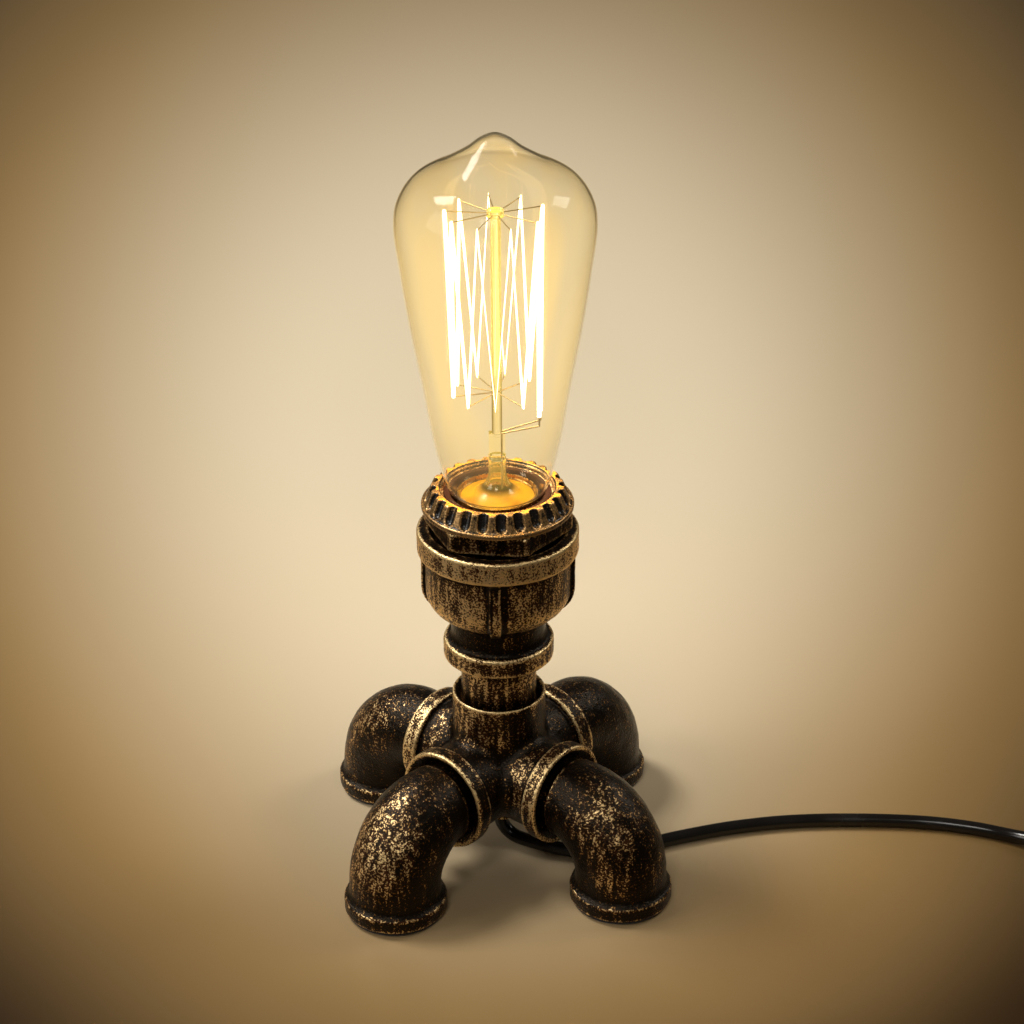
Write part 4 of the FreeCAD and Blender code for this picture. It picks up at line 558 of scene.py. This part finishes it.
def elbow_zones(points, normals):
    """Gold outside the bend, growing with the distance beyond its centreline, with a painted highlight that
    puts most of it on the side that faces the front and above. None inside the neck or under the foot."""
    reach, side = leg_directions(points)
    out, up = reach - (LEG_REACH - BEND_R), points[:, 2] - (CROSS_Z - BEND_R)
    straight = np.where(up <= 0, out, up)
    beyond = np.where((out > 0) & (up > 0), np.hypot(out, up), straight) - BEND_R
    turn = np.degrees(np.arctan2(np.maximum(out, 0.0), np.maximum(up, 0.0) + 0.01))
    gold = (ELBOW_BASE + ELBOW_HIGHLIGHT * painted_highlight_side(normals)) * blend(beyond, *BEYOND_RISE)
    gold = gold * (THROAT_SHARE + (1 - THROAT_SHARE) * blend(turn, *THROAT_TURN))
    gold = gold * (1 - FOOT_LOSS * blend(turn, *FOOT_TURN))
    foot = (points[:, 2] < FOOT_BAND_TOP) & (np.hypot(reach - LEG_REACH, side) > FOOT_BAND_R)
    under = (normals[:, 2] < FACES_DOWN) & (points[:, 2] < SOLE_TOP)
    return np.where(foot | under | (reach < PORT_FACE), 0.0, gold)


# %% [markdown]
# The cross has five ports, each with a band round its end. The insides of the ports never met the
# brush, so they are left black.

# %% Gold on the cross
CROSS_BASE, CROSS_HIGHLIGHT = 0.03, 0.24
CROSS_TOP_GAIN, CROSS_TOP = 0.05, (40.0, 56.0)
BAND_BASE, BAND_HIGHLIGHT = 0.05, 0.26
BAND_FROM, BAND_INNER_R = 24.0, 16.4
PORT_FROM, PORT_R = 18.0, 14.6
TOP_PORT_FROM, TOP_PORT_R = 48.0, 14.7


def cross_zones(points, normals):
    """A little gold all over, more near the top port, and a painted highlight where the barrels and the port
    bands face the front and above. None inside the ports."""
    reach, side = leg_directions(points)
    height = points[:, 2]
    round_port = np.hypot(side, height - CROSS_Z)
    gold = CROSS_BASE + CROSS_HIGHLIGHT * painted_highlight_side(normals) + CROSS_TOP_GAIN * blend(height, *CROSS_TOP)
    bands = (reach > BAND_FROM) & (round_port > BAND_INNER_R)
    gold = np.where(bands, BAND_BASE + BAND_HIGHLIGHT * painted_highlight_side(normals), gold)
    in_leg_port = (reach > PORT_FROM) & (round_port < PORT_R)
    in_top_port = (np.hypot(points[:, 0], points[:, 1]) < TOP_PORT_R) & (height > TOP_PORT_FROM)
    return np.where(in_leg_port | in_top_port, 0.0, gold)


# %% [markdown]
# The reducer is a turned shape with four ribs, so its plan is a list of heights with the gold at each.
# Beside each rib a strip of painted shadow has no gold, which makes the ribs stand out.

# %% Gold on the reducer
# Painted shade: the gold is low at the neck under the bowl, and a little lower just under the large band.
REDUCER_PLAN = (
    (76.4, 0.3), (83.0, 0.3), (84.5, 0.08), (87.0, 0.05), (92.5, 0.05), (94.0, 0.5), (97.0, 0.42),
    (104.0, 0.37), (115.5, 0.33), (116.6, 0.5), (124.6, 0.5),
)
RIB_ANGLE, RIB_SPACING, RIB_HALF, RIB_SHADE = -51.5, 90.0, 4.5, 10.5  # degrees
RIB_DARK_EDGE = -2.0
BOWL_FROM, BOWL_TO = 93.0, 116.0
RIB_FROM, RIB_FOOT = 90.0, 95.5
# The strip beside each rib that loses its gold is a painted shadow.
SHADOW_STRIP_LOSS, RIB_LOSS, RIB_EDGE_LOSS, RIB_FOOT_LOSS = 0.9, 0.12, 0.4, 0.5
MOUTH_R, MOUTH_FROM = 26.5, 118.0
FACES_IN = -0.2


def reducer_zones(points, normals):
    """Gold by height, with painted shade at the neck. On one side of each of the four ribs a strip of
    painted shadow has no gold; there is less on the other edge and at the foot of each rib, and the brush
    has skipped the top and inside of the mouth."""
    height, half = points[:, 2], RIB_SPACING / 2
    radius = np.hypot(points[:, 0], points[:, 1])
    gold = np.interp(height, *np.array(REDUCER_PLAN).T)
    angle = np.degrees(np.arctan2(points[:, 1], points[:, 0]))
    beside = (angle - RIB_ANGLE + half) % RIB_SPACING - half
    bowl = (height > BOWL_FROM) & (height < BOWL_TO)
    strip = blend(beside, RIB_HALF - 0.5, RIB_HALF + 0.5) * (1 - blend(beside, RIB_SHADE - 1.0, RIB_SHADE))
    rib = (np.abs(beside) < RIB_HALF + 0.5) & (height > RIB_FROM) & (height < BOWL_TO)
    gold = gold * (1 - SHADOW_STRIP_LOSS * strip * bowl) - RIB_LOSS * rib
    gold = gold - RIB_EDGE_LOSS * (rib & (beside < RIB_DARK_EDGE))
    gold = gold - RIB_FOOT_LOSS * (rib & (height < RIB_FOOT))
    inwards = normals[:, 0] * points[:, 0] + normals[:, 1] * points[:, 1] < FACES_IN * radius
    return np.where(inwards | ((radius < MOUTH_R) & (height > MOUTH_FROM)), 0.0, gold)


# %% [markdown]
# The lampholder shows only its hexagon, and the riser only its upper part. The shade ring is a cone
# whose flutes are cut from its foot to its top, and most of its gold lies on the flat rim round the bulb,
# where it becomes a painted orange glow of the bulb's light.

# %% Gold on the lampholder, the riser and the ring
HEX_FROM, HEX_TO, HEX_GOLD = 125.0, 132.4, 0.2
RISER_BASE, RISER_GAIN, RISER_RISE = 0.12, 0.22, (61.0, 68.0)
CONE_FOOT, CONE_TOP = (24.3, 134.3), (21.7, 139.8)
RING_BASE, RIM_GLOW_GAIN, FLUTE_LOSS = 0.34, 0.86, 0.46
FLUTE_CUT, STEEP = (0.5, 1.0), 0.75
RIM_LEVEL, RIM_THICKNESS, RIM_INNER_R = (0.7, 0.95), 0.6, 19.4


def holder_zones(points, normals):
    """A mostly black hexagon with a little gold, and a black collar and spigot."""
    return np.where((points[:, 2] > HEX_FROM) & (points[:, 2] < HEX_TO), HEX_GOLD, 0.0)


def riser_zones(points, normals):
    """Gold on the upper part of the pipe between the fittings."""
    return RISER_BASE + RISER_GAIN * blend(points[:, 2], *RISER_RISE)


def ring_zones(points, normals):
    """Gold everywhere except in the flutes, which are cut deeper than the cone between its foot and top.
    Most of it is on the flat rim, where it stands for a painted glow of the bulb's light."""
    height = points[:, 2]
    radius = np.hypot(points[:, 0], points[:, 1])
    cone = np.interp(height, (CONE_FOOT[1], CONE_TOP[1]), (CONE_FOOT[0], CONE_TOP[0]))
    sunk = blend(cone - radius, *FLUTE_CUT) * (height > CONE_FOOT[1]) * (np.abs(normals[:, 2]) < STEEP)
    # The flat rim gets a painted glow of the bulb's light.
    top = blend(normals[:, 2], *RIM_LEVEL) * (height > CONE_TOP[1] - RIM_THICKNESS) * (radius > RIM_INNER_R)
    return RING_BASE + RIM_GLOW_GAIN * top - FLUTE_LOSS * sunk


# %% [markdown]
# With the plans written, each fitting is cast and painted in one call. The cross, the reducer and the
# lampholder use a coarser grid. The elbows get the roughest skin, the riser and the lampholder the smoothest.

# %% Cast pieces
FINE, COARSE, RING_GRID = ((0.45, 0.55, 0.3))
SOFTEN = 2
for leg, seed in (("front_right", 11), ("rear_right", 23), ("rear_left", 37), ("front_left", 41)):
    casting("leg_" + leg, "elbow_" + leg, FINE * MM, SOFTEN, 0.10 * MM, seed, elbow_zones, brushed)
casting("hub", "cross_fitting", COARSE * MM, SOFTEN, 0.07 * MM, 51, cross_zones, brushed)
casting("riser", "riser_nipple", FINE * MM, SOFTEN, 0.04 * MM, 53, riser_zones, brushed)
casting("reducer", "reducer_coupling", COARSE * MM, SOFTEN, 0.07 * MM, 57, reducer_zones, brushed)
casting("holder", "socket_housing", COARSE * MM, SOFTEN, 0.04 * MM, 59, holder_zones, brushed)

# %% [markdown]
# The shade ring is turned and milled, not cast, so its edges are crisper and its gold is smoother: a
# satin bronze that is black in the flutes, with a painted orange glow of the bulb's light on its flat rim.

# %% Shade ring
# The orange is a painted glow of the bulb's light on the flat rim.
FLUTE_BLACK, WORN_BRONZE, GLOW_COPPER = rgb(16, 11, 8), rgb(176, 140, 94), rgb(250, 172, 66)
WORN_LOAD, METAL_LOAD, GLOW_LOAD = (0.1, 0.55), (0.1, 0.4), (0.85, 1.05)
WORN_METALLIC, GLOW_METALLIC = (0.1, 0.75), 0.35
WORN_PATCH, PATCH_AMOUNT, GRAIN_AMOUNT = 2.5 * MM, 0.2, 0.15


def satin_bronze():
    """Bronze with a fine grain: black where the gold attribute is low, brown in the middle, and where it is
    high an orange that is a painted glow of the bulb's light."""
    r = Recipe("satin_bronze")
    plain = r.place()
    grain = r.noise(plain, GRAIN, 2.0, 0.6)
    load = r("Attribute", attribute_name="gold").outputs["Fac"]
    load = r.math("ADD", load, r.spread(r.noise(plain, WORN_PATCH, 3.0), -PATCH_AMOUNT, PATCH_AMOUNT))
    load = r.math("ADD", load, r.spread(grain, -GRAIN_AMOUNT, GRAIN_AMOUNT))
    worn = r.mix(r.ramp(load, *WORN_LOAD), FLUTE_BLACK, WORN_BRONZE)
    rim_glow = r.ramp(load, *GLOW_LOAD)
    metallic = r.mix_value(rim_glow, r.ramp(load, *METAL_LOAD, *WORN_METALLIC), GLOW_METALLIC)
    colour = r.mix(rim_glow, worn, GLOW_COPPER)
    rough = r.spread(grain, 0.2, 0.36)
    bump = r.bump(0.5, 0.12 * MM, grain)
    return r.finish({"Base Color": colour, "Metallic": metallic, "Roughness": rough, "Normal": bump})


casting("fluted_ring", "shade_ring", RING_GRID * MM, 1, 0.02 * MM, 61, ring_zones, satin_bronze(),
        "shade_ring")

# %% [markdown]
# The glass is blown, thin and tinted amber. Its outline is a smooth curve through sixteen points, and
# spinning it round the axis makes the outer and the inner wall in one grid.

# %% Glass shape
GLASS_BASE, GLASS_WALL = 136.3, 0.7
GLASS_OUTLINE = (
    (13.0, 0.0), (13.3, 1.4), (16.0, 3.2), (17.2, 5.6), (20.8, 20.2), (24.1, 40.2), (27.6, 60.2),
    (30.4, 80.2), (32.0, 95.2), (30.9, 102.2), (26.4, 109.2), (16.2, 115.2), (9.2, 119.7), (5.1, 123.0),
    (2.0, 124.6), (0.0, 125.0),
)
GLASS_STEPS, GLASS_TURNS = 9, 96
DOUBLES, EMPTY_EDGE = 0.0005 * MM, 0.0001 * MM


def smooth_through(points, steps):
    """A Catmull-Rom curve: each piece between two points is a cubic that also looks at the point before
    and the point after. It is measured by the roots of the chord lengths, so it passes through every
    point without a loop where long and short chords meet. The line ends on the axis, where its next
    point would be the mirror image of the last but one."""
    p = np.array(points, float)
    p = np.vstack([2 * p[0] - p[1], p, p[-2] * (-1, 1)])
    knots = np.concatenate([[0], np.cumsum(np.sqrt(np.linalg.norm(np.diff(p, axis=0), axis=1)))])
    line = []
    for k in range(1, len(p) - 2):
        t = np.linspace(knots[k], knots[k + 1], steps, endpoint=False)[:, None]
        t0, t1, t2, t3 = knots[k - 1:k + 3]
        a1 = (t1 - t) / (t1 - t0) * p[k - 1] + (t - t0) / (t1 - t0) * p[k]
        a2 = (t2 - t) / (t2 - t1) * p[k] + (t - t1) / (t2 - t1) * p[k + 1]
        a3 = (t3 - t) / (t3 - t2) * p[k + 1] + (t - t2) / (t3 - t2) * p[k + 2]
        b1 = (t2 - t) / (t2 - t0) * a1 + (t - t0) / (t2 - t0) * a2
        b2 = (t3 - t) / (t3 - t1) * a2 + (t - t1) / (t3 - t1) * a3
        line.append((t2 - t) / (t2 - t1) * b1 + (t - t1) / (t2 - t1) * b2)
    return np.vstack(line + [p[-2][None]])


def spun(name, profile, turns, material, body, relief=None):
    """A surface of revolution: point k of the closed profile (radius, height), in mm, turned by each of
    `turns` equal angles. Points on the axis become one vertex. relief(height, angle), in mm, is taken
    off the radius."""
    profile = np.array(profile, float)
    angle = np.linspace(0, 2 * np.pi, turns, endpoint=False)[None, :]
    height = np.broadcast_to(profile[:, 1:], (len(profile), turns))
    radius = profile[:, :1] - (relief(height, angle) if relief else 0.0 * angle)
    grid = np.stack([radius * np.cos(angle), radius * np.sin(angle), height], -1) * MM
    index = np.arange(len(profile) * turns).reshape(len(profile), turns)
    above = np.roll(index, -1, 0)
    faces = np.stack([index, np.roll(index, -1, 1), np.roll(above, -1, 1), above], -1).reshape(-1, 4)
    mesh = bpy.data.meshes.new(name)
    mesh.from_pydata(grid.reshape(-1, 3).tolist(), [], faces.tolist())
    piece = bpy.data.objects.new(name, mesh)
    bpy.context.scene.collection.objects.link(piece)
    clean(piece)
    mesh.materials.append(material)
    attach(piece, body)
    return piece


def clean(piece):
    """Merges the doubles of a pole or seam, drops empty faces and turns all faces outwards."""
    work = bmesh.new()
    work.from_mesh(piece.data)
    bmesh.ops.remove_doubles(work, verts=work.verts, dist=DOUBLES)
    bmesh.ops.dissolve_degenerate(work, edges=work.edges, dist=EMPTY_EDGE)
    bmesh.ops.recalc_face_normals(work, faces=work.faces)
    for face in work.faces:
        face.smooth = True
    work.to_mesh(piece.data)
    work.free()


# %% [markdown]
# Thin glass bends light less than its solid kind would, so its index is low. The amber is a tint in the
# glass, and a faint glow stands for the light that the filament leaves in it beside the cage.

# %% Amber glass
PALE_AMBER, DEEP_AMBER = (0.99, 0.965, 0.88, 1.0), (0.98, 0.90, 0.70, 1.0)
WAVE, STREAK = 12.0 * MM, 9.0 * MM
HAZE_STARTS = 138.0 * MM, 175.0 * MM, 0.15, 1.0
HAZE_ENDS = 225.0 * MM, 252.0 * MM, 1.0, 0.35
HAZE_STRENGTH = 0.04, 0.09
THIN_GLASS_IOR = 1.18


def amber_glass():
    """Thin glass, a little wavy, with the haze that the lit filament gives it beside the cage. The
    amber is deeper in some upright streaks than in others."""
    r = Recipe("amber_glass")
    wave = r.noise(r.place((1.0, 1.0, 0.3)), WAVE, 1.0)
    streak = r.ramp(r.noise(r.place((1.0, 1.0, 0.12)), STREAK, 1.0), 0.35, 0.7)
    tint = r.mix(streak, PALE_AMBER, DEEP_AMBER)
    height = r.height(r.place())
    lit = r.math("MULTIPLY", r.ramp(height, *HAZE_STARTS), r.ramp(height, *HAZE_ENDS))
    haze = r.math("MULTIPLY", r.ramp(streak, 0.0, 1.0, *HAZE_STRENGTH), lit)
    bump = r.bump(0.12, 0.2 * MM, wave)
    return r.finish({"Base Color": tint, "Roughness": 0.0, "IOR": THIN_GLASS_IOR,
                     "Transmission Weight": 1.0, "Normal": bump, "Emission Color": (1.0, 0.78, 0.36, 1.0),
                     "Emission Strength": haze})


outer = smooth_through(GLASS_OUTLINE, GLASS_STEPS)
slope = np.gradient(outer, axis=0)
inward = np.stack([-slope[:, 1], slope[:, 0]], 1)
inward /= np.linalg.norm(inward, axis=1)[:, None]
inner = outer + inward * GLASS_WALL
inner[:, 0] = np.maximum(inner[:, 0], 0.0)
inner[-1] = (0.0, GLASS_OUTLINE[-1][1] - GLASS_WALL)
profile = np.vstack([outer, inner[::-1]]) + (0.0, GLASS_BASE)
glass = spun("glass_envelope", profile, GLASS_TURNS, amber_glass(), "bulb")
glass.visible_shadow = False
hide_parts("bulb_glass")
print("glass", len(glass.data.polygons), "faces")

# %% [markdown]
# The cap is pressed from thin brass, and its thread is rolled into the sheet. A thread needs no cutting
# here: taking a cosine of height and angle off the radius of a sleeve makes one, because the crest then
# climbs by one pitch per turn. The holder's shell, which has the same wave on a real lamp, stays hidden
# in the lampholder and keeps its plain CAD shape.

# %% Rolled threads
PITCH, THREAD_DEPTH = 3.63, 0.9
THREAD_FROM, THREAD_TO = 119.0, 135.2


def rolled(low, high):
    """A rounded thread between two heights that fades in and out over a third of a turn. The relief is
    half the depth times 1 - cos(2 pi (height / pitch - turns)), so crests keep the full radius."""
    def relief(height, angle):
        wave = 0.5 * (1 - np.cos(2 * np.pi * height / PITCH - angle))
        fade_in, fade_out = blend(height, low, low + PITCH / 3), blend(height, high - PITCH / 3, high)
        return THREAD_DEPTH * wave * fade_in * (1 - fade_out)
    return relief


def fine(profile, step):
    """The closed profile with points at most `step` apart."""
    points = []
    for a, b in zip(profile, profile[1:] + profile[:1]):
        count = max(1, math.ceil(math.dist(a, b) / step))
        points += [(a[0] + (b[0] - a[0]) * k / count, a[1] + (b[1] - a[1]) * k / count) for k in range(count)]
    return points


# %% [markdown]
# Bare metal is never even: fine scratches run along it, and handling leaves it a little duller in some
# places. One recipe serves the brass and the steel.

# %% Bare metal and the cap
SCRATCH, SCRATCH_DEPTH, TARNISH = 0.8 * MM, 0.03 * MM, 6.0 * MM
TARNISH_DARKENS = 0.55


def metal(name, colour, roughness):
    """Bare metal with fine scratches and a little tarnish."""
    r = Recipe(name)
    where = r.place((1.0, 1.0, 0.25))
    scratch = r.noise(where, SCRATCH, 4.0, 0.7)
    tarnish = r.noise(r.place(), TARNISH, 3.0)
    tone = r.mix(r.ramp(tarnish, 0.35, 0.75), colour, scaled(colour, TARNISH_DARKENS))
    gloss = r.spread(scratch, roughness - 0.08, roughness + 0.1)
    bump = r.bump(0.3, SCRATCH_DEPTH, scratch)
    return r.finish({"Base Color": tone, "Metallic": 1.0, "Roughness": gloss, "Normal": bump})


brass = metal("lamp_brass", rgb(196, 152, 84), 0.28)
CAP_LOW, CAP_KNEE, CAP_RIM, CAP_HIGH = 116.7, 117.9, 135.95, 137.7
CAP_WALL, CAP_FLARE, CAP_TURNS = 0.35, 0.2, 128
cap_profile = [
    (11.65, CAP_LOW), (12.0, CAP_LOW), (13.2, CAP_KNEE), (13.2, CAP_RIM), (13.6, CAP_RIM + CAP_FLARE),
    (13.6, CAP_HIGH), (13.25, CAP_HIGH), (13.25, CAP_RIM + CAP_WALL), (12.85, CAP_RIM + CAP_WALL),
    (12.85, CAP_KNEE),
]
thread_step = 0.2
cap = spun("screw_cap", fine(cap_profile, thread_step), CAP_TURNS, brass, "bulb",
           relief=rolled(THREAD_FROM, THREAD_TO))
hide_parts("bulb_cap")
print("cap", len(cap.data.polygons), "faces")

# %% [markdown]
# The filament is a carbon thread folded into tall hairpins. Lit, it is so bright that only its colour
# at the edges shows, so it gets an emission well above white.

# %% Filament
HAIRPINS, OPEN_SHARE, FIRST_STRAND = 9, 0.5, 44.0
CAGE_TOP_Z, CAGE_BOTTOM_Z, TAIL = 235.2, 173.7, 7.0
CAGE_TOP_R, CAGE_BOTTOM_R = 16.0, 14.2
THREAD_R, THREAD_STEPS = 0.66, 3


def glowing():
    """A white-hot thread with a yellow cast."""
    r = Recipe("glowing_carbon")
    return r.finish({"Base Color": (1.0, 0.8, 0.5, 1.0), "Emission Color": (1.0, 0.78, 0.45, 1.0),
                     "Emission Strength": 5.0, "Roughness": 0.6})


def cage_point(step, top):
    """A corner of the cage, `step` hairpins round from the first strand."""
    angle = math.radians(FIRST_STRAND + step * 360.0 / (HAIRPINS + OPEN_SHARE))
    radius, height = (CAGE_TOP_R, CAGE_TOP_Z) if top else (CAGE_BOTTOM_R, CAGE_BOTTOM_Z)
    return np.array([radius * math.cos(angle), radius * math.sin(angle), height])


def wire(name, route, radius, material, body):
    """A round wire along a poly-line in mm, as a mesh."""
    curve = bpy.data.curves.new(name, "CURVE")
    curve.dimensions = "3D"
    curve.bevel_depth, curve.bevel_resolution = radius * MM, THREAD_STEPS
    curve.use_fill_caps = True
    spline = curve.splines.new("POLY")
    spline.points.add(len(route) - 1)
    for point, (x, y, z) in zip(spline.points, route):
        point.co = (x * MM, y * MM, z * MM, 1.0)
    holder = bpy.data.objects.new(name, curve)
    mesh = bpy.data.meshes.new_from_object(holder)
    mesh.polygons.foreach_set("use_smooth", np.ones(len(mesh.polygons), bool))
    piece = bpy.data.objects.new(name, mesh)
    bpy.data.objects.remove(holder)
    bpy.context.scene.collection.objects.link(piece)
    mesh.materials.clear()
    mesh.materials.append(material)
    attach(piece, body)
    return piece


corners = [cage_point(0, False) - (0, 0, TAIL)]
for hairpin in range(HAIRPINS):
    corners += [cage_point(hairpin + 0.5, True), cage_point(hairpin + 1, False)]
corners[-1] = corners[-1] - (0, 0, TAIL)
filament = wire("filament_cage", corners, THREAD_R, glowing(), "bulb")
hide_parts("bulb_filament")
filament.visible_shadow = False
print("filament", len(corners), "corners")

# %% [markdown]
# The other pieces keep their CAD shapes, and each gets a material of its own kind: glazed ceramic,
# moulded and rubbery black plastic, felt, plated steel and the cores' coloured jackets.

# %% Ceramic, felt and wire with a painted glow
def glazed(name, colour, roughness):
    """Glazed ceramic with faint mottling."""
    r = Recipe(name)
    cloud = r.noise(r.place(), 4.0 * MM, 3.0)
    tone = r.mix(r.ramp(cloud, 0.3, 0.8), colour, scaled(colour, 0.82))
    bump = r.bump(0.2, 0.1 * MM, cloud)
    return r.finish({"Base Color": tone, "Roughness": roughness, "Normal": bump, "Coat Weight": 0.4})


def felt():
    """Pressed felt: matt, fuzzy, with short crossed fibres."""
    r = Recipe("black_felt")
    fibres = r.noise(r.place((1.0, 0.3, 1.0)), 0.3 * MM, 4.0, 0.7)
    tone = r.mix(r.ramp(fibres, 0.35, 0.7), rgb(16, 14, 13), rgb(48, 44, 40))
    bump = r.bump(0.8, 0.15 * MM, fibres)
    return r.finish({"Base Color": tone, "Roughness": 0.95, "Normal": bump, "Sheen Weight": 0.4})


def glow_painted_wire():
    """Molybdenum wire next to the filament: a grey metal with a faint painted glow for the filament's light
    on it.
    """
    r = Recipe("glow_painted_wire")
    glow = r.spread(r.noise(r.place(), 3.0 * MM, 2.0), 0.05, 0.22)
    return r.finish({"Base Color": rgb(176, 150, 104), "Metallic": 1.0, "Roughness": 0.35,
                     "Emission Color": (1.0, 0.72, 0.32, 1.0), "Emission Strength": glow})


# %% [markdown]
# The stem inside the bulb is one piece of glass with a flared foot. The foot lies in the brass cap and
# gets a painted orange glow for the filament's light that the brass throws back, and the rod above it is
# clear, with a faint painted yellow glow beside the lit filament. So one material goes from one to the
# other by height.

# %% Glass of the stem
FOOT_FADES, DARK_FADES = (137.6 * MM, 140.5 * MM, 1.0, 0.0), (140.3 * MM, 140.8 * MM, 1.0, 0.0)
# Painted glow: orange on the foot for light from the brass cap, faint yellow on the rod beside the cage.
CAGE_GLOW, FOOT_GLOW = (165.0 * MM, 190.0 * MM, 0.07, 0.28), 0.6
DEEP_ORANGE, BRIGHT_ORANGE = (0.5, 0.17, 0.004, 1.0), (1.0, 0.5, 0.015, 1.0)
CLEAR_YELLOW, FOOT_BROWN = (1.0, 0.95, 0.75, 1.0), (0.12, 0.06, 0.003, 1.0)
ROD_ROUGHNESS, FOOT_ROUGHNESS = 0.04, 0.3
BLOTCH_SIZE = 5.0 * MM


def stem_glass():
    """Clear glass that passes on the filament's yellow light, with a faint painted glow beside the cage. The
    wide foot of the stem lies in the cap and gets a blotchy painted orange glow for the light that the brass
    throws back."""
    r = Recipe("stem_glass")
    where = r.place()
    height = r.height(where)
    foot = r.ramp(height, *FOOT_FADES)
    dark = r.ramp(height, *DARK_FADES)
    cage = r.ramp(height, *CAGE_GLOW)
    blotch = r.ramp(r.noise(where, BLOTCH_SIZE, 2.0), 0.35, 0.65)
    orange = r.mix(blotch, DEEP_ORANGE, BRIGHT_ORANGE)
    bump = r.bump(0.3, 0.2 * MM, r.noise(where, BLOTCH_SIZE, 1.0))
    return r.finish({"Base Color": r.mix(dark, CLEAR_YELLOW, FOOT_BROWN),
                     "Roughness": r.mix_value(foot, ROD_ROUGHNESS, FOOT_ROUGHNESS), "IOR": 1.5,
                     "Transmission Weight": r.ramp(foot, 0.0, 1.0, 1.0, 0.0), "Normal": bump,
                     "Specular IOR Level": 0.12,
                     "Emission Color": r.mix(foot, (1.0, 0.72, 0.12, 1.0), orange),
                     "Emission Strength": r.mix_value(foot, cage, FOOT_GLOW)})


# %% [markdown]
# Each CAD node now gets its finish. What stands inside the bulb casts no shadow, so the point of light
# among the wires can reach the table.

# %% Finishes for the rest
steel = metal("zinc_steel", rgb(168, 168, 164), 0.3)
dress(felt(), "foot_pad_front_right", "foot_pad_rear_right", "foot_pad_rear_left", "foot_pad_front_left")
dress(glazed("white_ceramic", rgb(232, 226, 212), 0.25), "socket_insulator")
dress(glazed("brown_ceramic", rgb(52, 34, 24), 0.2), "socket_sleeve")
dress(brass, "socket_screw_shell", "socket_centre_contact", "socket_terminals", "plug_pins",
      "switch_contacts", "switch_blade")
dress(steel, "terminal_screws", "insulator_screws", "switch_housing_screws", "bulb_cap_contact")
dress(glow_painted_wire(), "bulb_filament_hooks", "bulb_lead_wires")
dress(stem_glass(), "bulb_stem")
dress(glazed("black_cap_glass", rgb(18, 16, 20), 0.12), "bulb_cap_insulator")
dress(soft_black("black_moulding", rgb(24, 23, 22), 0.34, 0.5, 0.4 * MM), "cord_grip_bushing",
      "cord_grip_locknut", "switch_lower_housing", "switch_upper_housing", "plug_body", "plug_pin_sleeves")
dress(soft_black("black_rubber", rgb(22, 21, 20), 0.4, 0.5, 0.6 * MM), "switch_relief_lamp_side",
      "switch_relief_plug_side", "plug_relief", "inner_cord")
dress(soft_black("rocker_black", rgb(30, 29, 28), 0.2, 0.1, 0.8 * MM), "switch_rocker")
dress(soft_black("brown_core", rgb(96, 58, 32), 0.35, 0.2, 0.5 * MM), "wire_live", "switch_live_cores")
dress(soft_black("blue_core", rgb(38, 78, 140), 0.35, 0.2, 0.5 * MM), "wire_neutral", "switch_neutral_core")
for name in ("bulb_stem", "bulb_filament_hooks", "bulb_lead_wires"):
    nodes[name].visible_shadow = False
print("materials", len(bpy.data.materials))
